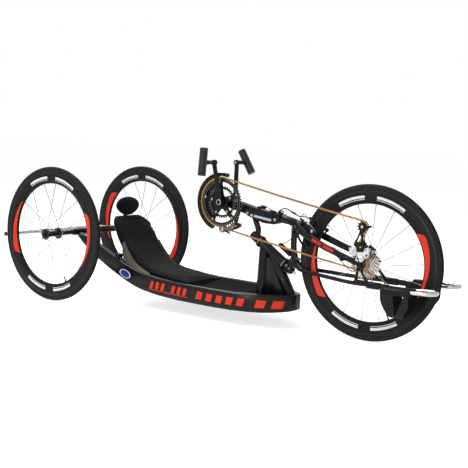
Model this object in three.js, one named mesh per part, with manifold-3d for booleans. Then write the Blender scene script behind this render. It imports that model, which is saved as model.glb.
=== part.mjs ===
// A racing handcycle: two rear wheels, a tub of two curved side rails with a reclined seat,
// and a steered front fork that carries the hand cranks, the chain drive, the brakes and the
// front wheel. Millimetres, +X forward, +Y to the rider's left, +Z up.
import * as THREE from "three";
import { mergeVertices } from "three/addons/utils/BufferGeometryUtils.js";
import Module from "manifold-3d";

const wasm = await Module();
wasm.setup();

// Fits
const FIT = 0.3;
const OVERRUN = 5;
const TAU = Math.PI * 2;

// Wheels
const WHEEL_RADIUS = 308.5;
const WHEEL_FACETS = 32;
const TYRE_WIDTH = 23;
const TYRE_DEPTH = 22;
const TREAD_WIDTH = 6;
const RIM_DEPTH = 56;
const RIM_WIDTH = 21;
const RIM_NOSE_WIDTH = 9;
const SPOKE_COUNT = 18;
const SPOKE_THICKNESS = 2;
const SPOKE_LEAN = 0.55;
const WHEEL_TURN = THREE.MathUtils.degToRad(5);
// The valve stands midway between two spokes, counted from the wheel's first spoke.
const VALVE_PLACE = 14.5;
const VALVE_RADIUS = 2.5;
const VALVE_LENGTH = 30;
const WHEELBASE = 1458;
const REAR_TRACK = 615;
const CAMBER = THREE.MathUtils.degToRad(0.5);

// Hubs and axles
const REAR_FLANGE_SPACING = 75;
const REAR_HUB_LENGTH = 96;
const FLANGE_RADIUS = 26;
const FLANGE_THICKNESS = 4;
const HUB_BARREL_RADIUS = 15;
const REAR_PIN_RADIUS = 6.1;
const PIN_HEAD_RADIUS = 12;
const PIN_HEAD_LENGTH = 8;
const AXLE_SPACER = 4;
const AXLE_TUBE_RADIUS = 16;
const AXLE_STUB_RADIUS = 11;
const DROPOUT_SPACING = 134;
const DROPOUT_THICKNESS = 6;
const DROPOUT_RADIUS = 19;
const SKEWER_RADIUS = 5;
const SKEWER_NUT_RADIUS = 9;
const SKEWER_NUT_LENGTH = 7;
const FRONT_FLANGE_RIGHT = 18;
const FRONT_FLANGE_LEFT = 34;

// Side rails, pan and nose
const RAIL_HALF_SPAN = 155;
const RAIL_WIDTH = 26;
const RAIL_HEIGHT = 77;
const RAIL_TOP = 137;
const RAIL_CORNER = 7;
const NOSE_SETBACK = 3;
const PAN_THICKNESS = 4;
const PAN_SAG = 9;
const PAN_START = 648;
const PAN_LENGTH = 284;

// Mast and head tube
const POST_GAP = 27;
const POST_RADIUS = 8.5;
const POST_SPACING = 17.6;
const HEAD_SETBACK = 102;
const HEAD_DROP = 6;
const HEAD_SLOPE = THREE.MathUtils.degToRad(33.5);
const HEAD_LENGTH = 160;
const HEAD_RADIUS = 21.5;
const HEAD_FACETS = 16;
const CUP_RADIUS = 24;
const CUP_LENGTH = 13;
const STEERER_RADIUS = 13;
const STEERER_OVERHANG = 46;
const CLAMP_RING_RADIUS = 20.5;
const CLAMP_RING_LENGTH = 32;
const CLAMP_RING_SETBACK = 6;
const REAR_LEG_DEPTH = 44;
const REAR_LEG_WIDTH = 40;
const REAR_LEG_SETBACK = 50;
const FRONT_LEG_RADIUS = 22;
const CROSS_TUBE_RADIUS = 15;
const CROSS_TUBE_DROP = 37;

// Seat
const SEAT_HALF_WIDTH = 121;
const SHELL_THICKNESS = 4;
const SHELL_LIP = 14;
const PAD_THICKNESS = 30;
const SEAT_TOP_X = 175;
const SEAT_TOP_HEIGHT = 386;
const SEAT_FRONT_X = 640;
const SEAT_FRONT_HEIGHT = 126;
const SEAT_BAR_RADIUS = 8;
const HEADREST_WIDTH = 150;
const HEADREST_HEIGHT = 82;
const HEADREST_DEPTH = 56;
const HEADREST_RISE = 54;
const HEADREST_POST_WIDTH = 26;
const HEADREST_POST_THICKNESS = 5;

// Rear safety bar
const REAR_BAR_SETBACK = 350;
const REAR_BAR_DROP = 34;
const REAR_BAR_HALF_LENGTH = 289;
const REAR_BAR_RADIUS = 10;
const REAR_BAR_ARM_SPAN = 98;

// Cranks and boom
const CRANK_SETBACK = 345;
const CRANK_RISE = 190.5;
const CRANK_LENGTH = 170;
const CRANK_LEAN = THREE.MathUtils.degToRad(6.2);
const SHELL_LENGTH = 68;
const SHELL_RADIUS = 22;
const SPINDLE_RADIUS = 12;
const CRANK_FACETS = 16;
const CRANK_FACE = 66;
const CRANK_OFFSET = 22;
const ARM_THICKNESS = 13;
const ARM_WIDTH = 25;
const PEDAL_PIN_RADIUS = 5;
const GRIP_RADIUS = 17.5;
const GRIP_LENGTH = 117;
const GRIP_RISE = 3;
const GRIP_SPAN = 160;
const GRIP_TILT_RIGHT = THREE.MathUtils.degToRad(4.6);
const GRIP_TILT_LEFT = THREE.MathUtils.degToRad(-31.5);
const BOOM_SIZE = 38;
const BOOM_SLOPE = THREE.MathUtils.degToRad(12.3);
const BOOM_LENGTH = 212;
const CLAMP_WALL = 5;
const CLAMP_START = 125;
const CLAMP_END = 288;

// Chain drive
const CHAIN_PITCH = 12.7;
const CHAIN_TURN_PARTS = 2.2;
const CHAIN_WIDTH = 6;
const CHAIN_HEIGHT = 8.6;
const BIG_RING_TEETH = 52;
const SMALL_RING_TEETH = 34;
const COG_TEETH = 12;
const LARGEST_COG_TEETH = 28;
const PULLEY_TEETH = 11;
const COG_COUNT = 9;
const COG_SPACING = 3.95;
const RING_THICKNESS = 3;
const RING_PLANE = -47;
const SMALL_RING_INSET = 8;
const COG_PLANE = -58.5;
const TOOTH_RISE = 2.5;
const TENSION_PULLEY_AHEAD = -3;
const TENSION_PULLEY_RISE = 145;
const GUIDE_PULLEY_AHEAD = 1.5;
const GUIDE_PULLEY_RISE = 68;
const CAGE_GAP = 10;
const CAGE_PLATE = 1.6;
const CHANGER_TRAVEL = 2;
const GUARD_INNER_RADIUS = 112;
const GUARD_OUTER_RADIUS = 126;

// Fork blades and lower tubes
const TOP_TUBE_HEIGHT = 34;
const TOP_TUBE_WIDTH = 34;
const TOP_TUBE_NOSE = 18;
const BLADE_HEIGHT = 29;
const BLADE_THICKNESS = 13;
const BLADE_START_RISE = 128;
const STRUT_RADIUS = 4.5;
const FOOT_DROP = 72;
const FOOT_SPAN = 75;
const LOWER_TUBE_REACH = 67;
const FOOT_ROD_RADIUS = 6;
const FOOT_LOOP_WIDTH = 70;
const FOOT_LOOP_FRONT = 338;
const FOOT_INSERTION = 70;
const FOOT_TRAVEL = 25;
const SLING_START = 128;
const SLING_LENGTH = 112;
const SLING_DEPTH = 100;
const SLING_THICKNESS = 2.5;

// Brakes and controls
const BRAKE_ARM_LENGTH = 88;
const BRAKE_ARM_WIDTH = 14;
const BRAKE_ARM_THICKNESS = 9;
const BRAKE_STUD_RADIUS = 4;
const BRAKE_PAD_GAP = 2.8;
const BRAKE_PAD_LENGTH = 44;
const BRAKE_PAD_HEIGHT = 9;
const CALIPER_REACH = 62;
const CALIPER_PAD_REACH = 17;
const CALIPER_HALF_WIDTH = 23;
const CALIPER_PLATE = 5.5;
const DAMPER_RADIUS = 11;
const DAMPER_LENGTH = 66;
const DAMPER_RISE = 50;
const LEVER_LENGTH = 52;
const LEVER_PIN_RADIUS = 3;
const CABLE_RADIUS = 2;

// Finishes
const finish = (color, roughness, metalness) => ({ color, roughness, metalness });
const GLOSS_BLACK = finish(0x0b0b0c, 0.25, 0.2);
const SATIN_BLACK = finish(0x161616, 0.5, 0.2);
const TYRE_BLACK = finish(0x1b1a1a, 0.85, 0);
const CARBON_BLACK = finish(0x191819, 0.35, 0.1);
const FABRIC_BLACK = finish(0x1a1719, 0.95, 0);
const SHELL_GREY = finish(0x4c4a3e, 0.6, 0);
const SILVER = finish(0xc9c9c6, 0.25, 1);
const GOLD = finish(0xa8813f, 0.35, 1);

// Directions and places that several pieces share
const v3 = (x, y, z) => new THREE.Vector3(x, y, z);
const AXLE_HEIGHT = WHEEL_RADIUS * Math.cos(Math.PI / WHEEL_FACETS);
const REAR_AXLE = v3(0, 0, AXLE_HEIGHT);
const FRONT_AXLE = v3(WHEELBASE, 0, AXLE_HEIGHT);
const WHEEL_BACK = WHEELBASE - WHEEL_RADIUS;
const POST_X = WHEEL_BACK - POST_GAP - POST_RADIUS;
const NOSE_X = WHEEL_BACK - NOSE_SETBACK;
const STEER_DIRECTION = v3(Math.cos(HEAD_SLOPE), 0, -Math.sin(HEAD_SLOPE));
const STEER_NORMAL = v3(Math.sin(HEAD_SLOPE), 0, Math.cos(HEAD_SLOPE));
const HEAD_CENTRE = v3(POST_X - HEAD_SETBACK, 0, AXLE_HEIGHT - HEAD_DROP);
const CRANK_CENTRE = v3(POST_X - CRANK_SETBACK, 0, AXLE_HEIGHT + CRANK_RISE);
const BOOM_DIRECTION = v3(Math.cos(BOOM_SLOPE), 0, -Math.sin(BOOM_SLOPE));
const BOOM_NORMAL = v3(Math.sin(BOOM_SLOPE), 0, Math.cos(BOOM_SLOPE));
const ARM_DIRECTION = v3(-Math.sin(CRANK_LEAN), 0, Math.cos(CRANK_LEAN));
const Y_AXIS = v3(0, 1, 0);
const Z_AXIS = v3(0, 0, 1);
const X_AXIS = v3(1, 0, 0);

// A point that lies along and above a place, measured in that place's own two directions.
const offset = (from, along, a, normal, b, y = 0) =>
  from.clone().addScaledVector(along, a).addScaledVector(normal, b).add(v3(0, y, 0));
const onSteer = (along, above, y = 0) =>
  offset(HEAD_CENTRE, STEER_DIRECTION, along, STEER_NORMAL, above, y);
const onBoom = (along, above, y = 0) =>
  offset(CRANK_CENTRE, BOOM_DIRECTION, along, BOOM_NORMAL, above, y);
const ahead = (place, x, y, z) => place.clone().add(v3(x, y, z));

// Solids

// Turns a geometry into a solid whose faces point outwards.
function solidOf(geometry) {
  const bare = new THREE.BufferGeometry();
  bare.setAttribute("position", geometry.getAttribute("position"));
  bare.setIndex(geometry.index);
  const merged = mergeVertices(bare, 1e-4);
  const corners = Uint32Array.from(merged.index.array);
  const at = (i) => new THREE.Vector3().fromBufferAttribute(merged.attributes.position, i);
  let volume = 0;
  for (let i = 0; i < corners.length; i += 3)
    volume += at(corners[i]).dot(at(corners[i + 1]).cross(at(corners[i + 2])));
  if (volume < 0)
    for (let i = 0; i < corners.length; i += 3)
      [corners[i + 1], corners[i + 2]] = [corners[i + 2], corners[i + 1]];
  return new wasm.Manifold(
    new wasm.Mesh({
      numProp: 3,
      vertProperties: Float32Array.from(merged.attributes.position.array),
      triVerts: corners,
    }),
  );
}

const join = (first, ...rest) => rest.reduce((all, one) => all.add(one), first);
const cut = (first, ...rest) => rest.reduce((all, one) => all.subtract(one), first);

// The biggest piece of a solid that a cut has left in several.
function largest(solid) {
  return solid.decompose().reduce((a, b) => (b.volume() > a.volume() ? b : a));
}

// Joins one outline after another. Each station has a place, two directions and its outline as
// [across, up] points.
function loft(stations, closed = false) {
  const flat = (outline) => outline.map(([a, b]) => new THREE.Vector2(a, b));
  const clockwise = THREE.ShapeUtils.isClockWise(flat(stations[0].outline));
  const outlines = stations.map(({ outline }) => (clockwise ? [...outline].reverse() : outline));
  const count = outlines[0].length;
  const positions = stations.flatMap(({ at, across, up }, i) =>
    outlines[i].flatMap(([a, b]) => offset(at, across, a, up, b).toArray()));
  const corners = [];
  const spans = closed ? stations.length : stations.length - 1;
  for (let i = 0; i < spans; i++) {
    const here = i * count;
    const next = ((i + 1) % stations.length) * count;
    for (let k = 0; k < count; k++) {
      const m = (k + 1) % count;
      corners.push(here + k, here + m, next + m, here + k, next + m, next + k);
    }
  }
  if (!closed) {
    const last = spans * count;
    for (const [a, b, c] of THREE.ShapeUtils.triangulateShape(flat(outlines[0]), []))
      corners.push(c, b, a);
    for (const [a, b, c] of THREE.ShapeUtils.triangulateShape(flat(outlines.at(-1)), []))
      corners.push(last + a, last + b, last + c);
  }
  const geometry = new THREE.BufferGeometry();
  geometry.setAttribute("position", new THREE.Float32BufferAttribute(positions, 3));
  geometry.setIndex(corners);
  return solidOf(geometry);
}

const circle = (radius, sides, ratio = 1) =>
  Array.from({ length: sides }, (_, i) => {
    const turn = (TAU * (i + 0.5)) / sides;
    return [radius * Math.cos(turn), radius * ratio * Math.sin(turn)];
  });

// A rectangle with cut corners, from its centre.
function roundedBox(width, height, corner) {
  const w = width / 2;
  const h = height / 2;
  const c = Math.min(corner, w / 2, h / 2);
  return [
    [w, -h + c], [w, h - c], [w - c, h], [-w + c, h],
    [-w, h - c], [-w, -h + c], [-w + c, -h], [w - c, -h],
  ];
}

// A round tube along a smooth curve through points.
function tube(points, radius, sides = 10, steps = points.length * 4) {
  const section = new THREE.Shape(circle(radius, sides).map(([a, b]) => new THREE.Vector2(a, b)));
  const path = new THREE.CatmullRomCurve3(points, false, "centripetal");
  return solidOf(
    new THREE.ExtrudeGeometry(section, { steps, extrudePath: path, bevelEnabled: false }),
  );
}

// A round bar between two points.
function bar(from, to, radius, sides = 12) {
  const geometry = new THREE.CylinderGeometry(radius, radius, from.distanceTo(to), sides);
  const direction = to.clone().sub(from).normalize();
  geometry.applyQuaternion(new THREE.Quaternion().setFromUnitVectors(Y_AXIS, direction));
  geometry.translate(...from.clone().add(to).multiplyScalar(0.5).toArray());
  return solidOf(geometry);
}

// A profile of [radius, along] points turned round an axis through a place.
function turned(profile, facets, place, axis = Y_AXIS) {
  const closed = [...profile, profile[0]].map(([r, a]) => new THREE.Vector2(r, a));
  const geometry = new THREE.LatheGeometry(closed, facets);
  geometry.rotateY(Math.PI / facets);
  geometry.applyQuaternion(new THREE.Quaternion().setFromUnitVectors(Y_AXIS, axis));
  geometry.translate(...place.toArray());
  return solidOf(geometry);
}

const ring = (inner, outer, from, to, facets, place, axis) =>
  turned([[inner, from], [outer, from], [outer, to], [inner, to]], facets, place, axis);
const disc = (radius, from, to, facets, place, axis) =>
  turned([[0, from], [radius, from], [radius, to], [0, to]], facets, place, axis);

// An outline of [a, b] points in the plane of two directions, from one depth to another.
function prism(outline, from, to, place, across, up, normal) {
  const station = (depth) => ({
    at: place.clone().addScaledVector(normal, depth), across, up, outline,
  });
  return loft([station(from), station(to)]);
}
const sidePrism = (outline, from, to, place) =>
  prism(outline, from, to, place, X_AXIS, Z_AXIS, Y_AXIS);

// Reads a table of [position, value] pairs, with straight lines between them.
function between(table, position) {
  const next = table.findIndex(([p]) => p >= position);
  if (next === 0) return table[0][1];
  if (next < 0) return table.at(-1)[1];
  const [p0, a] = table[next - 1];
  const [p1, b] = table[next];
  return a + ((b - a) * (position - p0)) / (p1 - p0);
}

// Pieces
const group = new THREE.Group();

function piece(name, solid, look) {
  const { numProp, vertProperties, triVerts } = solid.getMesh();
  const geometry = new THREE.BufferGeometry();
  const positions = new THREE.InterleavedBuffer(vertProperties, numProp);
  geometry.setAttribute("position", new THREE.InterleavedBufferAttribute(positions, 3, 0));
  geometry.setIndex(new THREE.BufferAttribute(triVerts, 1));
  const flat = geometry.toNonIndexed();
  flat.computeVertexNormals();
  const mesh = new THREE.Mesh(flat, new THREE.MeshStandardMaterial(look));
  mesh.name = name;
  group.add(mesh);
}

const SIDES = [["right", -1], ["left", 1]];

// Wheels
const RIM_OUTER = WHEEL_RADIUS - TYRE_DEPTH - FIT;
const RIM_INNER = WHEEL_RADIUS - TYRE_DEPTH - RIM_DEPTH;
const FACET_FLAT = Math.cos(Math.PI / WHEEL_FACETS);

function tyre() {
  const half = TYRE_WIDTH / 2;
  const bead = RIM_WIDTH / 2 - 1;
  const side = [
    [WHEEL_RADIUS, TREAD_WIDTH / 2],
    [WHEEL_RADIUS - half * 0.8, half],
    [WHEEL_RADIUS - TYRE_DEPTH, bead],
  ];
  const mirrored = side.map(([r, y]) => [r, -y]).reverse();
  return turned([...side, ...mirrored], WHEEL_FACETS, v3(0, 0, 0));
}

function rim() {
  const half = RIM_WIDTH / 2;
  const side = [
    [RIM_OUTER, half - 1],
    [RIM_OUTER - RIM_DEPTH * 0.45, half],
    [RIM_INNER, RIM_NOSE_WIDTH / 2],
  ];
  const mirrored = side.map(([r, y]) => [r, -y]).reverse();
  const turn = WHEEL_TURN + (TAU * VALVE_PLACE) / SPOKE_COUNT;
  const out = v3(Math.cos(turn), 0, Math.sin(turn));
  const stem = bar(out.clone().multiplyScalar(RIM_INNER + TYRE_DEPTH / 2),
    out.clone().multiplyScalar(RIM_INNER - VALVE_LENGTH), VALVE_RADIUS, 6);
  return join(turned([...side, ...mirrored], WHEEL_FACETS, v3(0, 0, 0)), stem);
}

// A hub with its spokes. The flanges lie at their own distances from the wheel's plane.
function hub(rightFlange, leftFlange, rightEnd, leftEnd, bore) {
  const t = FLANGE_THICKNESS / 2;
  const profile = [
    [bore, -rightEnd], [HUB_BARREL_RADIUS, -rightEnd],
    [HUB_BARREL_RADIUS, -rightFlange - t], [FLANGE_RADIUS, -rightFlange - t],
    [FLANGE_RADIUS, -rightFlange + t], [HUB_BARREL_RADIUS, -rightFlange + t],
    [HUB_BARREL_RADIUS, leftFlange - t], [FLANGE_RADIUS, leftFlange - t],
    [FLANGE_RADIUS, leftFlange + t], [HUB_BARREL_RADIUS, leftFlange + t],
    [HUB_BARREL_RADIUS, leftEnd], [bore, leftEnd],
  ];
  let solid = turned(profile, 12, v3(0, 0, 0));
  const tip = (RIM_INNER - FIT) * FACET_FLAT - FIT;
  const root = FLANGE_RADIUS - FLANGE_THICKNESS;
  for (let i = 0; i < SPOKE_COUNT; i++) {
    const side = i % 2 ? 1 : -1;
    const lean = Math.floor(i / 2) % 2 ? SPOKE_LEAN : -SPOKE_LEAN;
    const turn = WHEEL_TURN + (TAU * i) / SPOKE_COUNT;
    const flange = side > 0 ? leftFlange : -rightFlange;
    const from = v3(root * Math.cos(turn + lean), flange, root * Math.sin(turn + lean));
    const to = v3(tip * Math.cos(turn), (side * RIM_NOSE_WIDTH) / 6, tip * Math.sin(turn));
    solid = solid.add(bar(from, to, SPOKE_THICKNESS / 2, 3));
  }
  return solid;
}

function placed(solid, place, lean) {
  const matrix = new THREE.Matrix4().makeRotationX(lean).setPosition(place);
  return solid.transform(matrix.elements);
}

const hubHalf = REAR_HUB_LENGTH / 2;
const flangeHalf = REAR_FLANGE_SPACING / 2;
const rearBore = REAR_PIN_RADIUS + FIT;
for (const [name, side] of SIDES) {
  const centre = ahead(REAR_AXLE, 0, (side * REAR_TRACK) / 2, 0);
  const lean = side * CAMBER;
  piece("rear_tyre_" + name, placed(tyre(), centre, lean), TYRE_BLACK);
  piece("rear_rim_" + name, placed(rim(), centre, lean), CARBON_BLACK);
  const rearHub = hub(flangeHalf, flangeHalf, hubHalf, hubHalf, rearBore);
  piece("rear_hub_" + name, placed(rearHub, centre, lean), SATIN_BLACK);
  const inner = -hubHalf - FIT;
  const outer = hubHalf + FIT;
  const pin = turned(
    [
      [0, inner - AXLE_SPACER], [AXLE_STUB_RADIUS, inner - AXLE_SPACER],
      [AXLE_STUB_RADIUS, inner], [REAR_PIN_RADIUS, inner], [REAR_PIN_RADIUS, outer],
      [PIN_HEAD_RADIUS, outer], [PIN_HEAD_RADIUS, outer + PIN_HEAD_LENGTH / 2],
      [PIN_HEAD_RADIUS / 2, outer + PIN_HEAD_LENGTH], [0, outer + PIN_HEAD_LENGTH],
    ],
    16, v3(0, 0, 0), v3(0, side, 0),
  );
  piece("rear_axle_pin_" + name, placed(pin, centre, lean), SATIN_BLACK);
}
piece("front_tyre", placed(tyre(), FRONT_AXLE, 0), TYRE_BLACK);
piece("front_rim", placed(rim(), FRONT_AXLE, 0), CARBON_BLACK);

const dropoutInner = DROPOUT_SPACING / 2 - DROPOUT_THICKNESS / 2;
const dropoutOuter = dropoutInner + DROPOUT_THICKNESS;
const skewerBore = SKEWER_RADIUS + FIT;
const cassetteEnd = -COG_PLANE - (COG_COUNT - 0.5) * COG_SPACING;
piece(
  "front_hub",
  placed(
    hub(FRONT_FLANGE_RIGHT, FRONT_FLANGE_LEFT, cassetteEnd - FIT, dropoutInner - FIT, skewerBore),
    FRONT_AXLE, 0,
  ),
  SATIN_BLACK,
);
piece(
  "front_axle",
  join(
    disc(SKEWER_RADIUS, -dropoutOuter - OVERRUN, dropoutOuter + OVERRUN, 12, FRONT_AXLE),
    ...[-1, 1].map((side) =>
      disc(SKEWER_NUT_RADIUS, dropoutOuter + FIT, dropoutOuter + SKEWER_NUT_LENGTH, 12,
        FRONT_AXLE, v3(0, side, 0)),
    ),
  ),
  SATIN_BLACK,
);

// Side rails
// Each row: place along the rail, top's fall, height, half span and wall, all as shares.
const RAIL_SHARES = [
  [0, 1, 0.29, 1, 1], [0.025, 0.92, 0.45, 1, 1], [0.058, 0.86, 0.68, 1, 1],
  [0.115, 0.735, 0.9, 1, 1], [0.18, 0.56, 1, 1, 1], [0.225, 0.43, 1, 1, 1],
  [0.275, 0.295, 1, 1, 1], [0.325, 0.18, 1, 1, 1], [0.37, 0.115, 1, 1, 1],
  [0.44, 0.055, 1, 1, 1], [0.55, 0.012, 1, 1, 1], [0.7, 0, 1, 1, 1],
  [0.79, 0, 1, 0.97, 1.05], [0.86, 0, 0.99, 0.86, 1.25], [0.905, 0, 0.97, 0.73, 1.45],
  [0.937, 0.005, 0.95, 0.6, 1.7], [0.965, 0.01, 0.92, 0.45, 2.4],
  [0.987, 0.018, 0.89, 0.29, 3.4], [1, 0.022, 0.84, 0.1, 3.4],
];
const RAIL_START_RISE = AXLE_HEIGHT + AXLE_TUBE_RADIUS / 2 - RAIL_TOP;
const railTable = (column) => RAIL_SHARES.map((row) => [row[0], row[column]]);
const railTop = (x) => RAIL_TOP + RAIL_START_RISE * between(railTable(1), x / NOSE_X);
const railOuter = (x) => RAIL_HALF_SPAN * between(railTable(3), x / NOSE_X);
const railInner = (x) =>
  Math.max(FIT / 2, railOuter(x) - RAIL_WIDTH * between(railTable(4), x / NOSE_X));

function rail(side, grow = 0) {
  const stations = RAIL_SHARES.map(([share, , height]) => {
    const x = share * NOSE_X;
    const top = railTop(x) + grow;
    const depth = RAIL_HEIGHT * height + grow * 2;
    const outer = railOuter(x) + grow;
    const inner = railInner(x) - grow;
    return {
      at: v3(x, (side * (outer + inner)) / 2, top - depth / 2),
      across: Y_AXIS,
      up: Z_AXIS,
      outline: roundedBox(outer - inner, depth, RAIL_CORNER),
    };
  });
  return loft(stations);
}

const axleTubeEnd = REAR_TRACK / 2 - hubHalf - AXLE_SPACER - FIT * 2;
const axleTubeShoulder = RAIL_HALF_SPAN + AXLE_TUBE_RADIUS;
function axleTube(grow = 0) {
  const half = [
    [0, axleTubeEnd], [AXLE_STUB_RADIUS + grow, axleTubeEnd],
    [AXLE_STUB_RADIUS + grow, axleTubeShoulder + AXLE_TUBE_RADIUS],
    [AXLE_TUBE_RADIUS + grow, axleTubeShoulder],
  ];
  const mirrored = half.map(([r, y]) => [r, -y]).reverse();
  return turned([...half, ...mirrored], 16, REAR_AXLE);
}
piece("axle_tube", axleTube(), GLOSS_BLACK);
for (const [name, side] of SIDES)
  piece("side_rail_" + name, largest(cut(rail(side), axleTube(FIT))), GLOSS_BLACK);

// Mast and head tube
const headHalf = HEAD_LENGTH / 2;
const steererBore = STEERER_RADIUS + FIT;
piece(
  "head_tube",
  turned(
    [
      [steererBore, -headHalf], [CUP_RADIUS, -headHalf], [CUP_RADIUS, CUP_LENGTH - headHalf],
      [HEAD_RADIUS, CUP_LENGTH - headHalf], [HEAD_RADIUS, headHalf - CUP_LENGTH],
      [CUP_RADIUS, headHalf - CUP_LENGTH], [CUP_RADIUS, headHalf], [steererBore, headHalf],
    ],
    HEAD_FACETS, HEAD_CENTRE, STEER_DIRECTION,
  ),
  GLOSS_BLACK,
);
const headHole = disc(HEAD_RADIUS + FIT, -headHalf, headHalf, HEAD_FACETS, HEAD_CENTRE, STEER_DIRECTION);
const cupHoles = [-1, 1].map((end) =>
  disc(CUP_RADIUS + FIT, headHalf - CUP_LENGTH - FIT, headHalf + STEERER_OVERHANG, HEAD_FACETS,
    HEAD_CENTRE,
    STEER_DIRECTION.clone().multiplyScalar(end)),
);
const legX = HEAD_CENTRE.x - REAR_LEG_SETBACK;
const crossHeight = RAIL_TOP - CROSS_TUBE_DROP;
function rearLeg(grow = 0) {
  const outline = roundedBox(REAR_LEG_DEPTH + grow * 2, REAR_LEG_WIDTH + grow * 2, REAR_LEG_WIDTH / 4);
  const heights = [crossHeight, HEAD_CENTRE.z + HEAD_RADIUS];
  const leans = [0, REAR_LEG_DEPTH / 4];
  return loft(
    heights.map((z, i) => ({ at: v3(legX + leans[i], 0, z), across: X_AXIS, up: Y_AXIS, outline })),
  );
}
const crossSpan = railOuter(legX) - RAIL_WIDTH / 2;
const crossTube = bar(v3(legX, -crossSpan, crossHeight), v3(legX, crossSpan, crossHeight),
  CROSS_TUBE_RADIUS);
const railHoles = [rail(-1, FIT), rail(1, FIT)];
piece(
  "mast_rear_leg",
  largest(cut(join(rearLeg(), crossTube), headHole, ...cupHoles, ...railHoles)),
  GLOSS_BLACK,
);
piece(
  "mast_front_leg",
  largest(
    cut(
      bar(HEAD_CENTRE, v3(NOSE_X - FRONT_LEG_RADIUS * 1.1, 0, RAIL_TOP - RAIL_HEIGHT / 3),
        FRONT_LEG_RADIUS, 16),
      headHole, ...cupHoles, rearLeg(FIT), ...railHoles,
    ),
  ),
  GLOSS_BLACK,
);

// Front pan, slung between the rails ahead of the seat
const ACROSS_SHARES = [-1, -0.75, -0.4, 0, 0.4, 0.75, 1];
function panStation(share) {
  const x = PAN_START + PAN_LENGTH * share;
  const half = railInner(x) - FIT;
  const sag = (y) => -PAN_SAG * (1 - y * y);
  const upper = ACROSS_SHARES.map((y) => [y * half, sag(y)]);
  const lower = ACROSS_SHARES.map((y) => [y * half, sag(y) - PAN_THICKNESS]).reverse();
  return { at: v3(x, 0, RAIL_TOP - RAIL_CORNER), across: Y_AXIS, up: Z_AXIS,
    outline: [...upper, ...lower] };
}
const panFront = Math.min(PAN_START + PAN_LENGTH, legX - REAR_LEG_DEPTH / 2 - FIT);
const panShares = [0, 0.2, 0.4, 0.6, 0.8, 1].map(
  (share) => (share * (panFront - PAN_START)) / PAN_LENGTH,
);
piece("front_pan", loft(panShares.map(panStation)), SATIN_BLACK);

// Seat shell, cushion, support and headrest
// Each row: place from the top to the front, fall from the top, and half width, as shares.
const SEAT_LINE_SHARES = [
  [0, 0, 0.66], [0.02, 0.085, 0.8], [0.055, 0.19, 0.92], [0.09, 0.3, 0.98],
  [0.14, 0.445, 1], [0.21, 0.6, 1], [0.3, 0.745, 1], [0.4, 0.855, 1],
  [0.5, 0.925, 1], [0.62, 0.965, 1], [0.75, 0.985, 1], [0.87, 0.997, 1], [1, 1, 0.98],
];
const seatPoint = ([x, fall]) =>
  v3(SEAT_TOP_X + (SEAT_FRONT_X - SEAT_TOP_X) * x, 0,
    SEAT_TOP_HEIGHT - (SEAT_TOP_HEIGHT - SEAT_FRONT_HEIGHT) * fall);
const seatCurve = new THREE.CatmullRomCurve3(SEAT_LINE_SHARES.map(seatPoint));
const seatWidthTable = SEAT_LINE_SHARES.map(([, , width], i) =>
  [i / (SEAT_LINE_SHARES.length - 1), width]);

// A place on the seat's line, with the direction that faces the rider.
function seatFrame(t) {
  const tangent = seatCurve.getTangent(t);
  return { at: seatCurve.getPoint(t), across: Y_AXIS, up: v3(-tangent.z, 0, tangent.x),
    half: SEAT_HALF_WIDTH * between(seatWidthTable, t) };
}
const SEAT_STATION_SHARES = [
  0, 0.015, 0.03, 0.06, 0.1, 0.15, 0.2, 0.26, 0.32, 0.38, 0.44, 0.5, 0.57, 0.65, 0.75, 0.85,
  0.91, 0.95, 0.975, 1,
];
const SHELL_LIFT_SHARES = [
  [-1, 1], [-0.94, 0.4], [-0.8, 0], [0, 0], [0.8, 0], [0.94, 0.4], [1, 1],
];
function shellStation(t) {
  const frame = seatFrame(t);
  const upper = SHELL_LIFT_SHARES.map(([y, lift]) => [y * frame.half, lift * SHELL_LIP]);
  const lower = upper.map(([y, z]) => [y, z - SHELL_THICKNESS]).reverse();
  return { ...frame, outline: [...upper, ...lower] };
}
const steps = (count, from = 0, to = 1) =>
  Array.from({ length: count + 1 }, (_, i) => from + ((to - from) * i) / count);
piece("seat_shell", loft(SEAT_STATION_SHARES.map(shellStation)), SHELL_GREY);

// The cushion's outline: a flat base, drawn-in sides and a crowned top.
const PAD_OUTLINE_SHARES = [
  [-0.86, 0], [0, 0], [0.86, 0], [0.93, 0.24], [0.955, 0.52], [0.91, 0.78], [0.76, 0.92],
  [0.4, 0.985], [0, 1], [-0.4, 0.985], [-0.76, 0.92], [-0.91, 0.78], [-0.955, 0.52],
  [-0.93, 0.24],
];
const PAD_END_SHARES = [
  [0.015, 0.4], [0.03, 0.7], [0.06, 0.9], [0.1, 0.98], [0.15, 1], [0.85, 1], [0.91, 0.95],
  [0.95, 0.8], [0.975, 0.45],
];
function padStation(t) {
  const frame = seatFrame(t);
  const fullness = between(PAD_END_SHARES, t);
  const width = frame.half * (0.9 + 0.1 * fullness) - SHELL_LIP / 4;
  const outline = PAD_OUTLINE_SHARES.map(([y, z]) => [
    y * width,
    FIT * 2 + Math.abs(y) ** 6 * SHELL_LIP * 0.35 + z * PAD_THICKNESS * fullness,
  ]);
  return { ...frame, outline };
}
piece("seat_pad", loft(SEAT_STATION_SHARES.slice(1, -1).map(padStation)), FABRIC_BLACK);

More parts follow.
